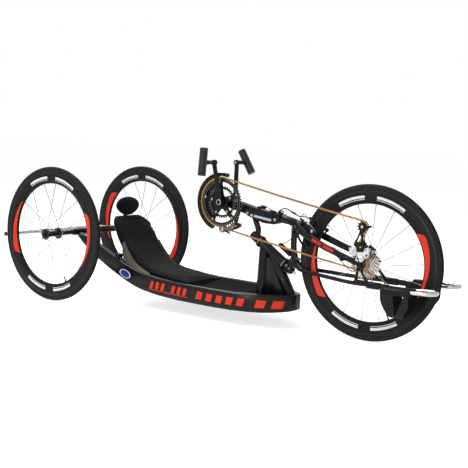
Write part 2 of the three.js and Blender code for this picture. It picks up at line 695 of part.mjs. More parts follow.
const supportFrame = seatFrame(0.42);
const supportCentre = supportFrame.at.clone()
  .addScaledVector(supportFrame.up, FIT * 1.5 - SHELL_THICKNESS - SEAT_BAR_RADIUS);
const supportSpan = RAIL_HALF_SPAN - FIT;
const footInner = RAIL_HALF_SPAN - RAIL_WIDTH;
const supportFeet = SIDES.map(([, side]) =>
  loft(
    [RAIL_TOP - RAIL_HEIGHT, supportCentre.z + SEAT_BAR_RADIUS].map((z) => ({
      at: v3(supportCentre.x, (side * (footInner + supportSpan)) / 2, z),
      across: X_AXIS, up: Y_AXIS,
      outline: roundedBox(SEAT_BAR_RADIUS * 3, supportSpan - footInner, SEAT_BAR_RADIUS / 4),
    })),
  ),
);
const supportBar = bar(
  ahead(supportCentre, 0, -supportSpan, 0), ahead(supportCentre, 0, supportSpan, 0),
  SEAT_BAR_RADIUS,
);
piece(
  "seat_support",
  largest(cut(join(supportBar, ...supportFeet), rail(-1, FIT), rail(1, FIT))),
  SATIN_BLACK,
);

const backDirection = seatCurve.getTangent(0.08).negate();
const backNormal = v3(-backDirection.z, 0, backDirection.x);
const backPoint = seatCurve.getPoint(0.08)
  .addScaledVector(backNormal, SHELL_THICKNESS + HEADREST_POST_THICKNESS / 2 + FIT * 2);
const headrestCentre = ahead(v3(SEAT_TOP_X, 0, SEAT_TOP_HEIGHT), HEADREST_DEPTH / 8, 0, HEADREST_RISE);
const headrestBlock = new THREE.SphereGeometry(1, 16, 10);
headrestBlock.scale(HEADREST_DEPTH / 2, HEADREST_WIDTH / 2, HEADREST_HEIGHT / 2);
headrestBlock.translate(...headrestCentre.toArray());
const postPlaces = [
  backPoint.clone().addScaledVector(backDirection, -HEADREST_HEIGHT / 2),
  backPoint.clone().addScaledVector(backDirection, HEADREST_HEIGHT / 3),
  ahead(headrestCentre, -HEADREST_DEPTH / 6, 0, 0),
];
const headrestPost = (grow) =>
  loft(
    postPlaces.map((at, i) => ({
      at: i === 2 ? ahead(at, 0, 0, grow) : at, across: Y_AXIS, up: backNormal,
      outline: roundedBox(HEADREST_POST_WIDTH + grow * 2, HEADREST_POST_THICKNESS + grow * 2,
        HEADREST_POST_THICKNESS / 4),
    })),
  );
piece("headrest_post", headrestPost(0), SATIN_BLACK);
piece("headrest_pad", largest(cut(solidOf(headrestBlock), headrestPost(FIT))), FABRIC_BLACK);

// Rear safety bar with its two arms
const barPlace = v3(-REAR_BAR_SETBACK, 0, AXLE_HEIGHT - REAR_BAR_DROP);
const barArms = SIDES.map(([, side]) =>
  tube(
    [
      ahead(barPlace, 0, side * REAR_BAR_ARM_SPAN, 0),
      ahead(barPlace, REAR_BAR_SETBACK * 0.3, side * REAR_BAR_ARM_SPAN, 0),
      ahead(REAR_AXLE, -REAR_BAR_SETBACK * 0.3, side * REAR_BAR_ARM_SPAN, 0),
      ahead(REAR_AXLE, 0, side * REAR_BAR_ARM_SPAN, 0),
    ],
    REAR_BAR_RADIUS - 1, 8, 7,
  ),
);
piece(
  "rear_bar",
  cut(
    join(
      bar(ahead(barPlace, 0, -REAR_BAR_HALF_LENGTH, 0), ahead(barPlace, 0, REAR_BAR_HALF_LENGTH, 0),
        REAR_BAR_RADIUS),
      ...barArms,
    ),
    axleTube(FIT),
  ),
  SILVER,
);

// Steerer, crown, riser and boom
const steererHalf = headHalf + STEERER_OVERHANG;
piece(
  "steerer",
  disc(STEERER_RADIUS, -steererHalf, steererHalf, HEAD_FACETS, HEAD_CENTRE, STEER_DIRECTION),
  SILVER,
);
const steererHole = disc(steererBore, -steererHalf - OVERRUN, steererHalf + OVERRUN, HEAD_FACETS,
  HEAD_CENTRE, STEER_DIRECTION);
const ringStart = headHalf + CLAMP_RING_SETBACK;
const ringEnd = ringStart + CLAMP_RING_LENGTH;
const clampRing = (from, to) =>
  disc(CLAMP_RING_RADIUS, from, to, HEAD_FACETS, HEAD_CENTRE, STEER_DIRECTION);

const postY = POST_SPACING / 2;
const footZ = AXLE_HEIGHT - FOOT_DROP;
const lowerTubeReach = WHEELBASE + LOWER_TUBE_REACH;
// From the post's foot: ahead of the post, outwards and above the axles.
const LOWER_TUBE_ROUTE = [
  [0, 8.8, 107.5], [0, 8.8, 77], [0, 8.8, 22], [5, 10, -4], [15, 13, -35], [44, 24, -56],
  [93, 37, -61], [147, 48, -64], [227, 60, -69],
];
function lowerTubePath(side) {
  return [
    ...LOWER_TUBE_ROUTE.map(([x, y, z]) => v3(POST_X + x, side * y, AXLE_HEIGHT + z)),
    v3(lowerTubeReach - FOOT_INSERTION - FOOT_TRAVEL - OVERRUN, side * FOOT_SPAN, footZ),
    v3(lowerTubeReach - FOOT_INSERTION / 2, side * FOOT_SPAN, footZ),
    v3(lowerTubeReach, side * FOOT_SPAN, footZ),
  ];
}
const lowerTube = (side, grow = 0) => tube(lowerTubePath(side), POST_RADIUS + grow, 8, 24);
const lowerHoles = SIDES.map(([, side]) => lowerTube(side, FIT));
for (const [name, side] of SIDES) {
  const mouth = v3(lowerTubeReach + OVERRUN, side * FOOT_SPAN, footZ);
  const floor = ahead(mouth, -FOOT_INSERTION - FOOT_TRAVEL - OVERRUN * 2, 0, 0);
  piece("lower_tube_" + name, cut(lowerTube(side), bar(floor, mouth, FOOT_ROD_RADIUS + FIT)),
    GLOSS_BLACK);
}

const crownBlock = loft(
  [0, DAMPER_RISE + POST_RADIUS].map((above) => ({
    at: onSteer((ringStart + ringEnd) / 2, above), across: STEER_DIRECTION, up: Y_AXIS,
    outline: roundedBox(ringEnd - ringStart, (postY + POST_RADIUS) * 1.9, POST_RADIUS / 3),
  })),
);
piece(
  "fork_crown",
  largest(cut(join(clampRing(ringStart, ringEnd), crownBlock), steererHole, ...lowerHoles)),
  GLOSS_BLACK,
);

const boomOutline = roundedBox(BOOM_SIZE, BOOM_SIZE, BOOM_SIZE / 12);
const boomBar = (grow, from, to) =>
  loft(
    [from, to].map((along) => ({
      at: onBoom(along, 0), across: Y_AXIS, up: BOOM_NORMAL,
      outline: boomOutline.map(([a, b]) => [a + Math.sign(a) * grow, b + Math.sign(b) * grow]),
    })),
  );
const shellHalf = SHELL_LENGTH / 2;
const spindleHole = disc(SPINDLE_RADIUS + FIT, -shellHalf - OVERRUN, shellHalf + OVERRUN,
  CRANK_FACETS, CRANK_CENTRE);
const boomKnob = bar(onBoom(BOOM_LENGTH * 0.78, BOOM_SIZE / 4),
  onBoom(BOOM_LENGTH * 0.78, BOOM_SIZE * 0.72), BOOM_SIZE / 4.5, 8);
piece(
  "crank_boom",
  cut(
    join(disc(SHELL_RADIUS, -shellHalf, shellHalf, CRANK_FACETS, CRANK_CENTRE), boomBar(0, 0, BOOM_LENGTH),
      boomKnob),
    spindleHole,
  ),
  GLOSS_BLACK,
);

// The clamp cradles the boom's lower half and closes round it at the front.
const halfBoom = BOOM_SIZE / 2;
const clampFloor = -halfBoom - CLAMP_WALL;
const boomEnd = BOOM_LENGTH + OVERRUN;
const clampOutline = [
  [CLAMP_START, clampFloor + CLAMP_WALL / 2], [CLAMP_START + halfBoom, clampFloor],
  [boomEnd, clampFloor - CLAMP_WALL], [CLAMP_END - halfBoom, clampFloor + CLAMP_WALL],
  [CLAMP_END, clampFloor + halfBoom], [CLAMP_END, halfBoom + CLAMP_WALL * 2],
  [boomEnd, halfBoom + CLAMP_WALL / 2], [boomEnd, 0], [CLAMP_START, -CLAMP_WALL],
];
const clampHalf = halfBoom + CLAMP_WALL;
const riserTop = onBoom(CLAMP_START + halfBoom * 1.4, clampFloor + CLAMP_WALL);
const ringCentre = -(ringStart + ringEnd) / 2;
const riserPath = [
  onSteer(ringCentre, 0),
  ahead(onSteer(ringCentre, 0), CLAMP_RING_RADIUS * 0.4, 0, CLAMP_RING_RADIUS),
  ahead(riserTop, BOOM_SIZE * 0.56, 0, -BOOM_SIZE * 1.35),
  ahead(riserTop, BOOM_SIZE * 0.3, 0, -BOOM_SIZE * 0.75),
  riserTop,
];
function clampBody(grow) {
  const outline = clampOutline.map(([a, b]) => [a, b]);
  return prism(outline, -clampHalf - grow, clampHalf + grow, CRANK_CENTRE, BOOM_DIRECTION,
    BOOM_NORMAL, Y_AXIS);
}
const leverPivot = onBoom(CLAMP_END - halfBoom * 0.7, halfBoom + CLAMP_WALL * 2 + LEVER_PIN_RADIUS * 2);
const leverEars = [-1, 1].map((side) =>
  loft(
    [0, halfBoom + CLAMP_WALL + LEVER_PIN_RADIUS].map((above) => ({
      at: offset(leverPivot, BOOM_DIRECTION, 0, BOOM_NORMAL,
        LEVER_PIN_RADIUS * 2 - above, side * LEVER_PIN_RADIUS * 3.4),
      across: BOOM_DIRECTION, up: Y_AXIS,
      outline: roundedBox(LEVER_PIN_RADIUS * 4, LEVER_PIN_RADIUS * 1.4, LEVER_PIN_RADIUS / 3),
    })),
  ),
);
const leverPin = disc(LEVER_PIN_RADIUS, -LEVER_PIN_RADIUS * 3.6, LEVER_PIN_RADIUS * 3.6, 10,
  leverPivot);
piece(
  "boom_clamp",
  largest(
    cut(join(clampBody(0), ...leverEars, leverPin),
      boomBar(FIT, BOOM_LENGTH / 4, BOOM_LENGTH + FIT)),
  ),
  SATIN_BLACK,
);
piece(
  "riser_stem",
  largest(
    cut(
      join(clampRing(-ringEnd, -ringStart), tube(riserPath, CLAMP_RING_RADIUS * 0.6, 10, 10)),
      steererHole,
      prism(clampOutline.map(([a, b]) => [a, b - FIT]), -clampHalf, clampHalf, CRANK_CENTRE,
        BOOM_DIRECTION, BOOM_NORMAL, Y_AXIS),
      boomBar(FIT, 0, BOOM_LENGTH),
    ),
  ),
  GLOSS_BLACK,
);

// Top tube and blades
const clampNose = onBoom(CLAMP_END + FIT, (clampFloor + halfBoom * 2 + CLAMP_WALL * 2) / 2);
const bladeRoot = v3(POST_X + POST_RADIUS, 0, AXLE_HEIGHT + BLADE_START_RISE);
function topTube(grow = 0) {
  const shape = (share, at, width, height) => ({
    at, across: Y_AXIS, up: Z_AXIS,
    outline: roundedBox(TOP_TUBE_WIDTH * width + grow * 2, TOP_TUBE_HEIGHT * height + grow * 2,
      TOP_TUBE_HEIGHT / 5),
  });
  const start = clampNose.clone().addScaledVector(X_AXIS, FIT * 8);
  return loft([
    shape(0, start, 1, 1),
    shape(0.5, start.clone().lerp(bladeRoot, 0.5), 0.95, 0.9),
    shape(1, bladeRoot, 1, 0.82),
    shape(1, ahead(bladeRoot, TOP_TUBE_NOSE + grow, 0, -TOP_TUBE_NOSE * 0.6), 0.9, 0.7),
  ]);
}
const caliperSlope = THREE.MathUtils.degToRad(38);
const caliperDown = v3(Math.sin(caliperSlope), 0, -Math.cos(caliperSlope));
const caliperForward = v3(Math.cos(caliperSlope), 0, Math.sin(caliperSlope));
const caliperPivot = ahead(bladeRoot, POST_RADIUS, 0,
  -TOP_TUBE_HEIGHT * 0.41 - BRAKE_ARM_WIDTH * 1.6);
const caliperBolt = bar(
  offset(caliperPivot, caliperForward, -POST_RADIUS * 0.7, Y_AXIS, 0),
  offset(caliperPivot, caliperForward, CALIPER_PLATE * 2.6, Y_AXIS, 0),
  BRAKE_STUD_RADIUS, 8,
);
const caliperTab = loft(
  [BRAKE_STUD_RADIUS, -BRAKE_ARM_WIDTH * 2.4].map((below) => ({
    at: offset(caliperPivot, caliperForward, -POST_RADIUS * 0.45, caliperDown, below),
    across: caliperForward, up: Y_AXIS,
    outline: roundedBox(POST_RADIUS * 0.7, POST_RADIUS * 1.8, 1),
  })),
);
piece(
  "top_tube",
  largest(cut(join(topTube(), caliperBolt, caliperTab), clampBody(FIT), ...lowerHoles)),
  GLOSS_BLACK,
);

// Each row: place from the root to the dropout, fall from the root, half span and height shares.
const BLADE_SHARES = [
  [0, 0.01, 0.14, 0.92], [0.06, 0.09, 0.34, 0.96], [0.13, 0.2, 0.56, 1], [0.22, 0.3, 0.72, 1],
  [0.34, 0.42, 0.83, 0.98], [0.55, 0.63, 0.93, 0.92], [0.8, 0.84, 0.985, 0.84], [1, 1, 1, 0.78],
];
const bladeSpan = DROPOUT_SPACING / 2;
const bladePoint = (side, [x, fall, span]) =>
  v3(bladeRoot.x + (WHEELBASE - DROPOUT_RADIUS - bladeRoot.x) * x, side * bladeSpan * span,
    bladeRoot.z - (BLADE_START_RISE - DROPOUT_THICKNESS) * fall);
const bladeTurn = Math.atan2(BLADE_START_RISE, WHEELBASE - bladeRoot.x);
const bladeUp = v3(Math.sin(bladeTurn), 0, Math.cos(bladeTurn));
function blade(side) {
  return loft(
    BLADE_SHARES.map((row) => ({
      at: bladePoint(side, row), across: Y_AXIS, up: bladeUp,
      outline: circle(1, 8).map(([a, b]) => [
        (a * BLADE_THICKNESS) / 1.9, (b * BLADE_HEIGHT * row[3]) / 1.9,
      ]),
    })),
  );
}
const brakeShares = between.bind(null, BLADE_SHARES.map((row) => [row[0], row[1]]));
const studShare = 0.31;
const studSpan = bladeSpan * between(BLADE_SHARES.map((row) => [row[0], row[2]]), studShare);
const studRoot = v3(
  bladeRoot.x + (WHEELBASE - DROPOUT_RADIUS - bladeRoot.x) * studShare, 0,
  bladeRoot.z - (BLADE_START_RISE - DROPOUT_THICKNESS) * brakeShares(studShare),
);
const brakeSlope = THREE.MathUtils.degToRad(32.2);
const brakeAlong = v3(-Math.cos(brakeSlope), 0, Math.sin(brakeSlope));
const brakeAxis = v3(Math.sin(brakeSlope), 0, Math.cos(brakeSlope));
const brakePivot = (side) =>
  studRoot.clone().addScaledVector(brakeAxis, BLADE_HEIGHT).add(v3(0, side * studSpan, 0));

const derailleurHeight = GUIDE_PULLEY_RISE * 0.62;
for (const [name, side] of SIDES) {
  const place = ahead(FRONT_AXLE, 0, side * bladeSpan, 0);
  const hangerRise = side < 0 ? derailleurHeight : DROPOUT_RADIUS;
  const plateHalf = DROPOUT_THICKNESS / 2;
  const plate = join(
    disc(DROPOUT_RADIUS, -plateHalf, plateHalf, 16, place),
    sidePrism(
      [
        [-DROPOUT_RADIUS * 1.5, -DROPOUT_RADIUS * 0.3], [DROPOUT_RADIUS * 0.6, 0],
        [DROPOUT_RADIUS * 0.3, hangerRise], [-DROPOUT_RADIUS * 0.8, hangerRise],
        [-DROPOUT_RADIUS * 1.5, DROPOUT_RADIUS * 0.9],
      ],
      -plateHalf, plateHalf, place,
    ),
  );
  const struts = [[-0.6, -0.55], [-0.1, 1.9]].map(([top, foot]) =>
    bar(ahead(place, DROPOUT_RADIUS * top, 0, -DROPOUT_RADIUS * 0.6),
      v3(WHEELBASE + DROPOUT_RADIUS * foot, side * (FOOT_SPAN - 1), footZ), STRUT_RADIUS, 8),
  );
  const stud = bar(
    ahead(studRoot, 0, side * studSpan, 0),
    brakePivot(side).addScaledVector(brakeAxis, BRAKE_ARM_THICKNESS / 2 + FIT * 2),
    BRAKE_STUD_RADIUS, 8,
  );
  piece(
    "fork_blade_" + name,
    largest(
      cut(
        join(blade(side), plate, ...struts, stud),
        topTube(FIT), ...lowerHoles,
        disc(skewerBore, -dropoutOuter - OVERRUN, dropoutOuter + OVERRUN, 12, FRONT_AXLE),
        disc(DROPOUT_RADIUS * 1.6, -dropoutInner, dropoutInner, 16, FRONT_AXLE),
      ),
    ),
    GLOSS_BLACK,
  );
}

// Steering damper, parallel to the head tube and seated on the crown
const damperEnd = ringStart - DAMPER_RADIUS;
const damperFoot = onSteer(damperEnd, DAMPER_RISE);
const damperTop = onSteer(damperEnd - DAMPER_LENGTH, DAMPER_RISE);
piece(
  "steering_damper",
  largest(
    cut(
      join(
        bar(damperTop, damperFoot, DAMPER_RADIUS, 14),
        bar(onSteer(damperEnd - DAMPER_LENGTH - OVERRUN, DAMPER_RISE), damperTop,
          DAMPER_RADIUS * 0.6, 10),
        bar(damperFoot, onSteer(ringStart - FIT, DAMPER_RISE), DAMPER_RADIUS / 2, 10),
        bar(ahead(damperTop, DAMPER_RADIUS / 2, 0, 0),
          v3(POST_X, 0, AXLE_HEIGHT + BLADE_START_RISE * 0.52), CABLE_RADIUS, 6),
      ),
      ...lowerHoles,
    ),
  ),
  SATIN_BLACK,
);

// Cranks and grips
const pitchRadius = (teeth) => CHAIN_PITCH / (2 * Math.sin(Math.PI / teeth));
const pedal = offset(CRANK_CENTRE, ARM_DIRECTION, CRANK_LENGTH, Y_AXIS, 0);
const pedalFace = CRANK_FACE + CRANK_OFFSET;
const spindleEnd = CRANK_FACE - FIT;
const armBore = SPINDLE_RADIUS + FIT;

function crankArm(side, bore) {
  const inner = CRANK_FACE - ARM_THICKNESS;
  const station = (along, y, width, thick) => ({
    at: offset(CRANK_CENTRE, ARM_DIRECTION, along, Y_AXIS, side * y),
    across: v3(ARM_DIRECTION.z, 0, -ARM_DIRECTION.x), up: Y_AXIS,
    outline: roundedBox(width, thick, thick / 4),
  });
  const hubY = CRANK_FACE - ARM_THICKNESS / 2;
  const endY = pedalFace - ARM_THICKNESS / 2;
  const arm = loft([
    station(0, hubY, ARM_WIDTH * 1.1, ARM_THICKNESS),
    station(CRANK_LENGTH * 0.25, hubY + CRANK_OFFSET * 0.12, ARM_WIDTH, ARM_THICKNESS * 0.95),
    station(CRANK_LENGTH * 0.6, hubY + CRANK_OFFSET * 0.62, ARM_WIDTH * 0.84, ARM_THICKNESS * 0.9),
    station(CRANK_LENGTH, endY, ARM_WIDTH * 0.8, ARM_THICKNESS),
  ]);
  const axis = v3(0, side, 0);
  return join(
    arm,
    disc(ARM_WIDTH * 0.72, inner, CRANK_FACE, CRANK_FACETS, CRANK_CENTRE, axis),
    disc(ARM_WIDTH * 0.46, pedalFace - ARM_THICKNESS, pedalFace, 14, pedal, axis),
    disc(PEDAL_PIN_RADIUS, pedalFace - ARM_THICKNESS / 2, GRIP_SPAN - GRIP_RADIUS * 0.4, 10,
      pedal, axis),
  );
}
piece(
  "crank_arm_right",
  join(crankArm(-1), disc(SPINDLE_RADIUS, -CRANK_FACE + 1, spindleEnd, CRANK_FACETS, CRANK_CENTRE)),
  SATIN_BLACK,
);
piece(
  "crank_arm_left",
  cut(crankArm(1), disc(armBore, 0, CRANK_FACE + OVERRUN, CRANK_FACETS, CRANK_CENTRE)),
  SATIN_BLACK,
);
for (const [name, side, tilt] of [["right", -1, GRIP_TILT_RIGHT], ["left", 1, GRIP_TILT_LEFT]]) {
  const along = v3(Math.sin(tilt), 0, Math.cos(tilt));
  const centre = offset(pedal, Y_AXIS, side * GRIP_SPAN, along, GRIP_RISE);
  const half = GRIP_LENGTH / 2;
  const chamfer = GRIP_RADIUS / 5;
  const handle = turned(
    [[0, -half], [GRIP_RADIUS - chamfer, -half], [GRIP_RADIUS, chamfer - half],
      [GRIP_RADIUS, half - chamfer], [GRIP_RADIUS - chamfer, half], [0, half]],
    18, centre, along,
  );
  const sleeve = disc(PEDAL_PIN_RADIUS * 2, pedalFace + FIT, GRIP_SPAN, 12, pedal, v3(0, side, 0));
  const bore = disc(PEDAL_PIN_RADIUS + FIT, 0, GRIP_SPAN - GRIP_RADIUS * 0.4 + FIT, 12, pedal,
    v3(0, side, 0));
  piece("grip_" + name, cut(join(handle, sleeve), bore), TYRE_BLACK);
}

// Chainrings: two toothed rings on a five-armed spider
function toothedRing(teeth, innerRadius, plane) {
  const root = pitchRadius(teeth) - TOOTH_RISE;
  const tip = pitchRadius(teeth) + TOOTH_RISE;
  const outline = Array.from({ length: teeth * 2 }, (_, i) => {
    const turn = (TAU * i) / (teeth * 2);
    const radius = i % 2 ? tip : root;
    return [radius * Math.cos(turn), radius * Math.sin(turn)];
  });
  const half = RING_THICKNESS / 2;
  const place = ahead(CRANK_CENTRE, 0, plane, 0);
  return cut(sidePrism(outline, -half, half, place),
    disc(innerRadius, -half - OVERRUN, half + OVERRUN, 20, place));
}
const bigRadius = pitchRadius(BIG_RING_TEETH);
const smallRadius = pitchRadius(SMALL_RING_TEETH);
const smallPlane = RING_PLANE + SMALL_RING_INSET;
const spiderFrom = RING_PLANE;
const spiderTo = smallPlane;
const spiderInner = -CRANK_FACE + ARM_THICKNESS + FIT;
const spiderArms = steps(4, 0, 0.8).map((share) => {
  const turn = TAU * share + Math.PI / 2 + CRANK_LEAN;
  const out = v3(Math.cos(turn), 0, Math.sin(turn));
  const station = (radius, width) => ({
    at: offset(CRANK_CENTRE, out, radius, Y_AXIS, (spiderFrom + spiderTo) / 2),
    across: v3(-out.z, 0, out.x), up: Y_AXIS,
    outline: roundedBox(width, spiderTo - spiderFrom, 1),
  });
  return loft([
    station(SPINDLE_RADIUS + FIT * 4, ARM_WIDTH),
    station(smallRadius - TOOTH_RISE * 3, ARM_WIDTH * 0.5),
    station(bigRadius - TOOTH_RISE * 5, ARM_WIDTH * 0.4),
  ]);
});
piece(
  "chainrings",
  cut(
    join(
      toothedRing(BIG_RING_TEETH, bigRadius - TOOTH_RISE * 7, RING_PLANE),
      toothedRing(SMALL_RING_TEETH, smallRadius - TOOTH_RISE * 6, smallPlane),
      ring(armBore, ARM_WIDTH, spiderInner, spiderTo, CRANK_FACETS, CRANK_CENTRE),
      ...spiderArms,
    ),
    disc(armBore, -CRANK_FACE, 0, CRANK_FACETS, CRANK_CENTRE),
  ),
  SATIN_BLACK,
);

// Cassette, with the small cog outside
const cogRadius = pitchRadius(COG_TEETH);
const largestRadius = pitchRadius(LARGEST_COG_TEETH);
const cogTip = (i) =>
  cogRadius + (largestRadius - cogRadius) * (i / (COG_COUNT - 1)) ** 1.15 + TOOTH_RISE;
const cogProfile = [];
for (let i = 0; i < COG_COUNT; i++) {
  const radius = cogTip(i);
  const y = COG_PLANE + i * COG_SPACING;
  const half = COG_SPACING / 4;
  cogProfile.push([cogRadius * 0.7, y - half * 2], [radius, y - half * 0.7],
    [radius, y + half * 0.7]);
}
piece(
  "cassette",
  turned(
    [[skewerBore, -dropoutInner + FIT], [cogRadius * 0.7, -dropoutInner + FIT], ...cogProfile,
      [cogRadius, -cassetteEnd], [skewerBore, -cassetteEnd]],
    16, FRONT_AXLE,
  ),
  SILVER,
);

// The chain's closed route round the big ring, the two pulleys and the small cog.
const pulleyRadius = pitchRadius(PULLEY_TEETH);
const tensionCentre = ahead(FRONT_AXLE, TENSION_PULLEY_AHEAD, COG_PLANE, TENSION_PULLEY_RISE);
const guideCentre = ahead(FRONT_AXLE, GUIDE_PULLEY_AHEAD, COG_PLANE, GUIDE_PULLEY_RISE);
// Each wheel: centre, radius, and 1 where the chain turns as the road wheels do.
const CHAIN_WHEELS = [
  [ahead(CRANK_CENTRE, 0, RING_PLANE, 0), bigRadius, 1],
  [tensionCentre, pulleyRadius, 1],
  [guideCentre, pulleyRadius, -1],
  [ahead(FRONT_AXLE, 0, COG_PLANE, 0), cogRadius, 1],
];

// The directions from two wheels' centres to the straight run that leaves one for the other.
function chainRun([from, r1, turn1], [to, r2, turn2]) {
  const apart = Math.hypot(to.x - from.x, to.z - from.z);
  const heading = Math.atan2(to.z - from.z, to.x - from.x);
  const tilt = Math.acos((r1 * turn1 - r2 * turn2) / apart);
  const angle = heading + tilt;
  return [turn1 > 0 ? angle : angle + Math.PI, turn2 > 0 ? angle : angle + Math.PI];
}
function chainRoute() {
  const route = [];
  const count = CHAIN_WHEELS.length;
  const runs = CHAIN_WHEELS.map((wheel, i) => chainRun(wheel, CHAIN_WHEELS[(i + 1) % count]));
  CHAIN_WHEELS.forEach(([centre, radius, turn], i) => {
    const start = runs[(i + count - 1) % count][1];
    let sweep = (start - runs[i][0]) * turn;
    sweep = ((sweep % TAU) + TAU) % TAU;
    const parts = Math.ceil(sweep * Math.max(CHAIN_TURN_PARTS, radius / CHAIN_PITCH / 2));
    for (const share of steps(parts)) {
      const angle = start - sweep * share * turn;
      route.push(ahead(centre, radius * Math.cos(angle), 0, radius * Math.sin(angle)));
    }
  });
  return route;
}
const chainPoints = chainRoute();
const chainOutline = [[1, -1], [1, 1], [-1, 1], [-1, -1]].map(([a, b]) =>
  [(a * CHAIN_WIDTH) / 2, (b * CHAIN_HEIGHT) / 2]);
const chainStations = chainPoints.map((at, i) => {
  const before = chainPoints.at(i - 1);
  const after = chainPoints[(i + 1) % chainPoints.length];
  const along = after.clone().sub(before).normalize();
  return { at, across: Y_AXIS, up: along.clone().cross(Y_AXIS).normalize(), outline: chainOutline };
});
const slotHalf = RING_THICKNESS / 2 + FIT * 2;
const toothHole = ([centre, radius]) =>
  disc((radius + TOOTH_RISE) * 1.005 + FIT, -slotHalf, slotHalf, 32, centre);
const nextCogHole = disc(cogTip(1) + FIT, COG_PLANE + COG_SPACING / 2 - FIT, COG_PLANE + COG_SPACING,
  20, FRONT_AXLE);
piece(
  "chain",
  largest(cut(loft(chainStations, true), nextCogHole, ...CHAIN_WHEELS.map(toothHole))),
  GOLD,
);

// Pulleys, cage and derailleur
const pulleyHalf = RING_THICKNESS / 2;
for (const [name, centre] of [["tension_pulley", tensionCentre], ["guide_pulley", guideCentre]])
  piece(
    name,
    ring(BRAKE_STUD_RADIUS + FIT, pulleyRadius + TOOTH_RISE, -pulleyHalf, pulleyHalf, 22, centre),
    SATIN_BLACK,
  );
const cageOuter = -CAGE_GAP / 2;
const cagePlate = (from, to) => {
  const out = tensionCentre.clone().sub(guideCentre).normalize();
  const across = v3(out.z, 0, -out.x);
  const span = guideCentre.distanceTo(tensionCentre);
  const w = pulleyRadius * 0.55;
  return prism(
    [[-w, -w * 0.6], [0, -w], [w, -w * 0.6], [w * 0.7, span / 2], [w * 0.9, span + w * 0.6],
      [0, span + w], [-w * 0.9, span + w * 0.6], [-w * 0.7, span / 2]],
    from, to, guideCentre, across, out, Y_AXIS,
  );
};
const cagePins = [tensionCentre, guideCentre].map((centre) =>
  disc(BRAKE_STUD_RADIUS, cageOuter - CAGE_PLATE / 2, -cageOuter + CAGE_PLATE / 2, 10, centre),
);
piece(
  "derailleur_cage",
  join(cagePlate(cageOuter - CAGE_PLATE, cageOuter), cagePlate(-cageOuter, -cageOuter + CAGE_PLATE),
    ...cagePins),
  SATIN_BLACK,
);

// The derailleur's body is bolted to the outside of the hanger and reaches to the cage's pivot.
const hangerPlace = ahead(FRONT_AXLE, 0, -dropoutOuter - FIT, 0);
const bodyWidth = DROPOUT_RADIUS * 1.4;
const cageFace = -COG_PLANE - cageOuter + CAGE_PLATE + FIT;
piece(
  "derailleur_body",
  join(
    sidePrism(
      [
        [-bodyWidth * 1.25, derailleurHeight * 0.62], [bodyWidth * 0.4, derailleurHeight * 0.55],
        [bodyWidth * 0.95, GUIDE_PULLEY_RISE * 0.8], [bodyWidth * 0.6, GUIDE_PULLEY_RISE * 1.1],
        [-bodyWidth * 0.5, GUIDE_PULLEY_RISE * 1.1], [-bodyWidth * 1.45, GUIDE_PULLEY_RISE * 0.8],
      ],
      -DROPOUT_THICKNESS * 1.6, 0, hangerPlace,
    ),
    disc(pulleyRadius * 0.45, cageFace, dropoutOuter + FIT * 3, 12,
      ahead(guideCentre, 0, -COG_PLANE, 0), v3(0, -1, 0)),
  ),
  SILVER,
);

// Front derailleur: a cage over the chain's lower run, hung from the boom's foot
const lowerRun = chainRun(CHAIN_WHEELS[3], CHAIN_WHEELS[0]);
const ringFoot = ahead(CHAIN_WHEELS[0][0], bigRadius * Math.cos(lowerRun[1]), 0,
  bigRadius * Math.sin(lowerRun[1]));
const cogFoot = ahead(CHAIN_WHEELS[3][0], cogRadius * Math.cos(lowerRun[0]), 0,
  cogRadius * Math.sin(lowerRun[0]));
const runDirection = cogFoot.clone().sub(ringFoot).normalize();
const runNormal = v3(-runDirection.z, 0, runDirection.x);
const changerPlace = ringFoot.clone().addScaledVector(runDirection, ARM_WIDTH * 1.8);
const changerHalf = CAGE_GAP / 2 + FIT * 2;
const changerPlate = (from, to) =>
  prism(
    [[-ARM_WIDTH, -CHAIN_HEIGHT], [ARM_WIDTH, -CHAIN_HEIGHT * 0.8], [ARM_WIDTH, CHAIN_HEIGHT * 1.4],
      [-ARM_WIDTH * 0.4, CHAIN_HEIGHT * 1.8]],
    from, to, changerPlace, runDirection, runNormal, Y_AXIS,
  );
const changerBridge = prism(
  [[ARM_WIDTH * 0.6, CHAIN_HEIGHT * 0.9], [ARM_WIDTH, CHAIN_HEIGHT * 0.9],
    [ARM_WIDTH, CHAIN_HEIGHT * 1.4], [ARM_WIDTH * 0.6, CHAIN_HEIGHT * 1.4]],
  -changerHalf - CAGE_PLATE, changerHalf + CAGE_PLATE, changerPlace, runDirection, runNormal, Y_AXIS,
);
const hangerTop = onBoom(CLAMP_START * 0.8, -halfBoom - FIT);
const changerTop = changerPlace.clone().addScaledVector(runDirection, ARM_WIDTH * 0.7)
  .addScaledVector(runNormal, CHAIN_HEIGHT * 1.2);
const hangerY = -RING_PLANE - changerHalf - CAGE_PLATE;
const changerHanger = loft([
  { at: v3(changerTop.x, -hangerY, changerTop.z), across: X_AXIS, up: Y_AXIS,
    outline: roundedBox(ARM_WIDTH * 0.6, CAGE_PLATE * 4, 1) },
  { at: v3(hangerTop.x, -halfBoom + CLAMP_WALL, hangerTop.z + CLAMP_WALL), across: X_AXIS,
    up: Y_AXIS, outline: roundedBox(ARM_WIDTH * 0.6, CAGE_PLATE * 4, 1) },
]);
piece(
  "front_derailleur",
  largest(
    cut(
      join(changerPlate(-changerHalf - CAGE_PLATE, -changerHalf),
        changerPlate(changerHalf, changerHalf + CAGE_PLATE), changerBridge, changerHanger),
      ...[-1, 0, 1].map((way) =>
        boomBar(FIT, 0, BOOM_LENGTH).translate(0, way * (CHANGER_TRAVEL + FIT), 0)),
    ),
  ),
  SATIN_BLACK,
);

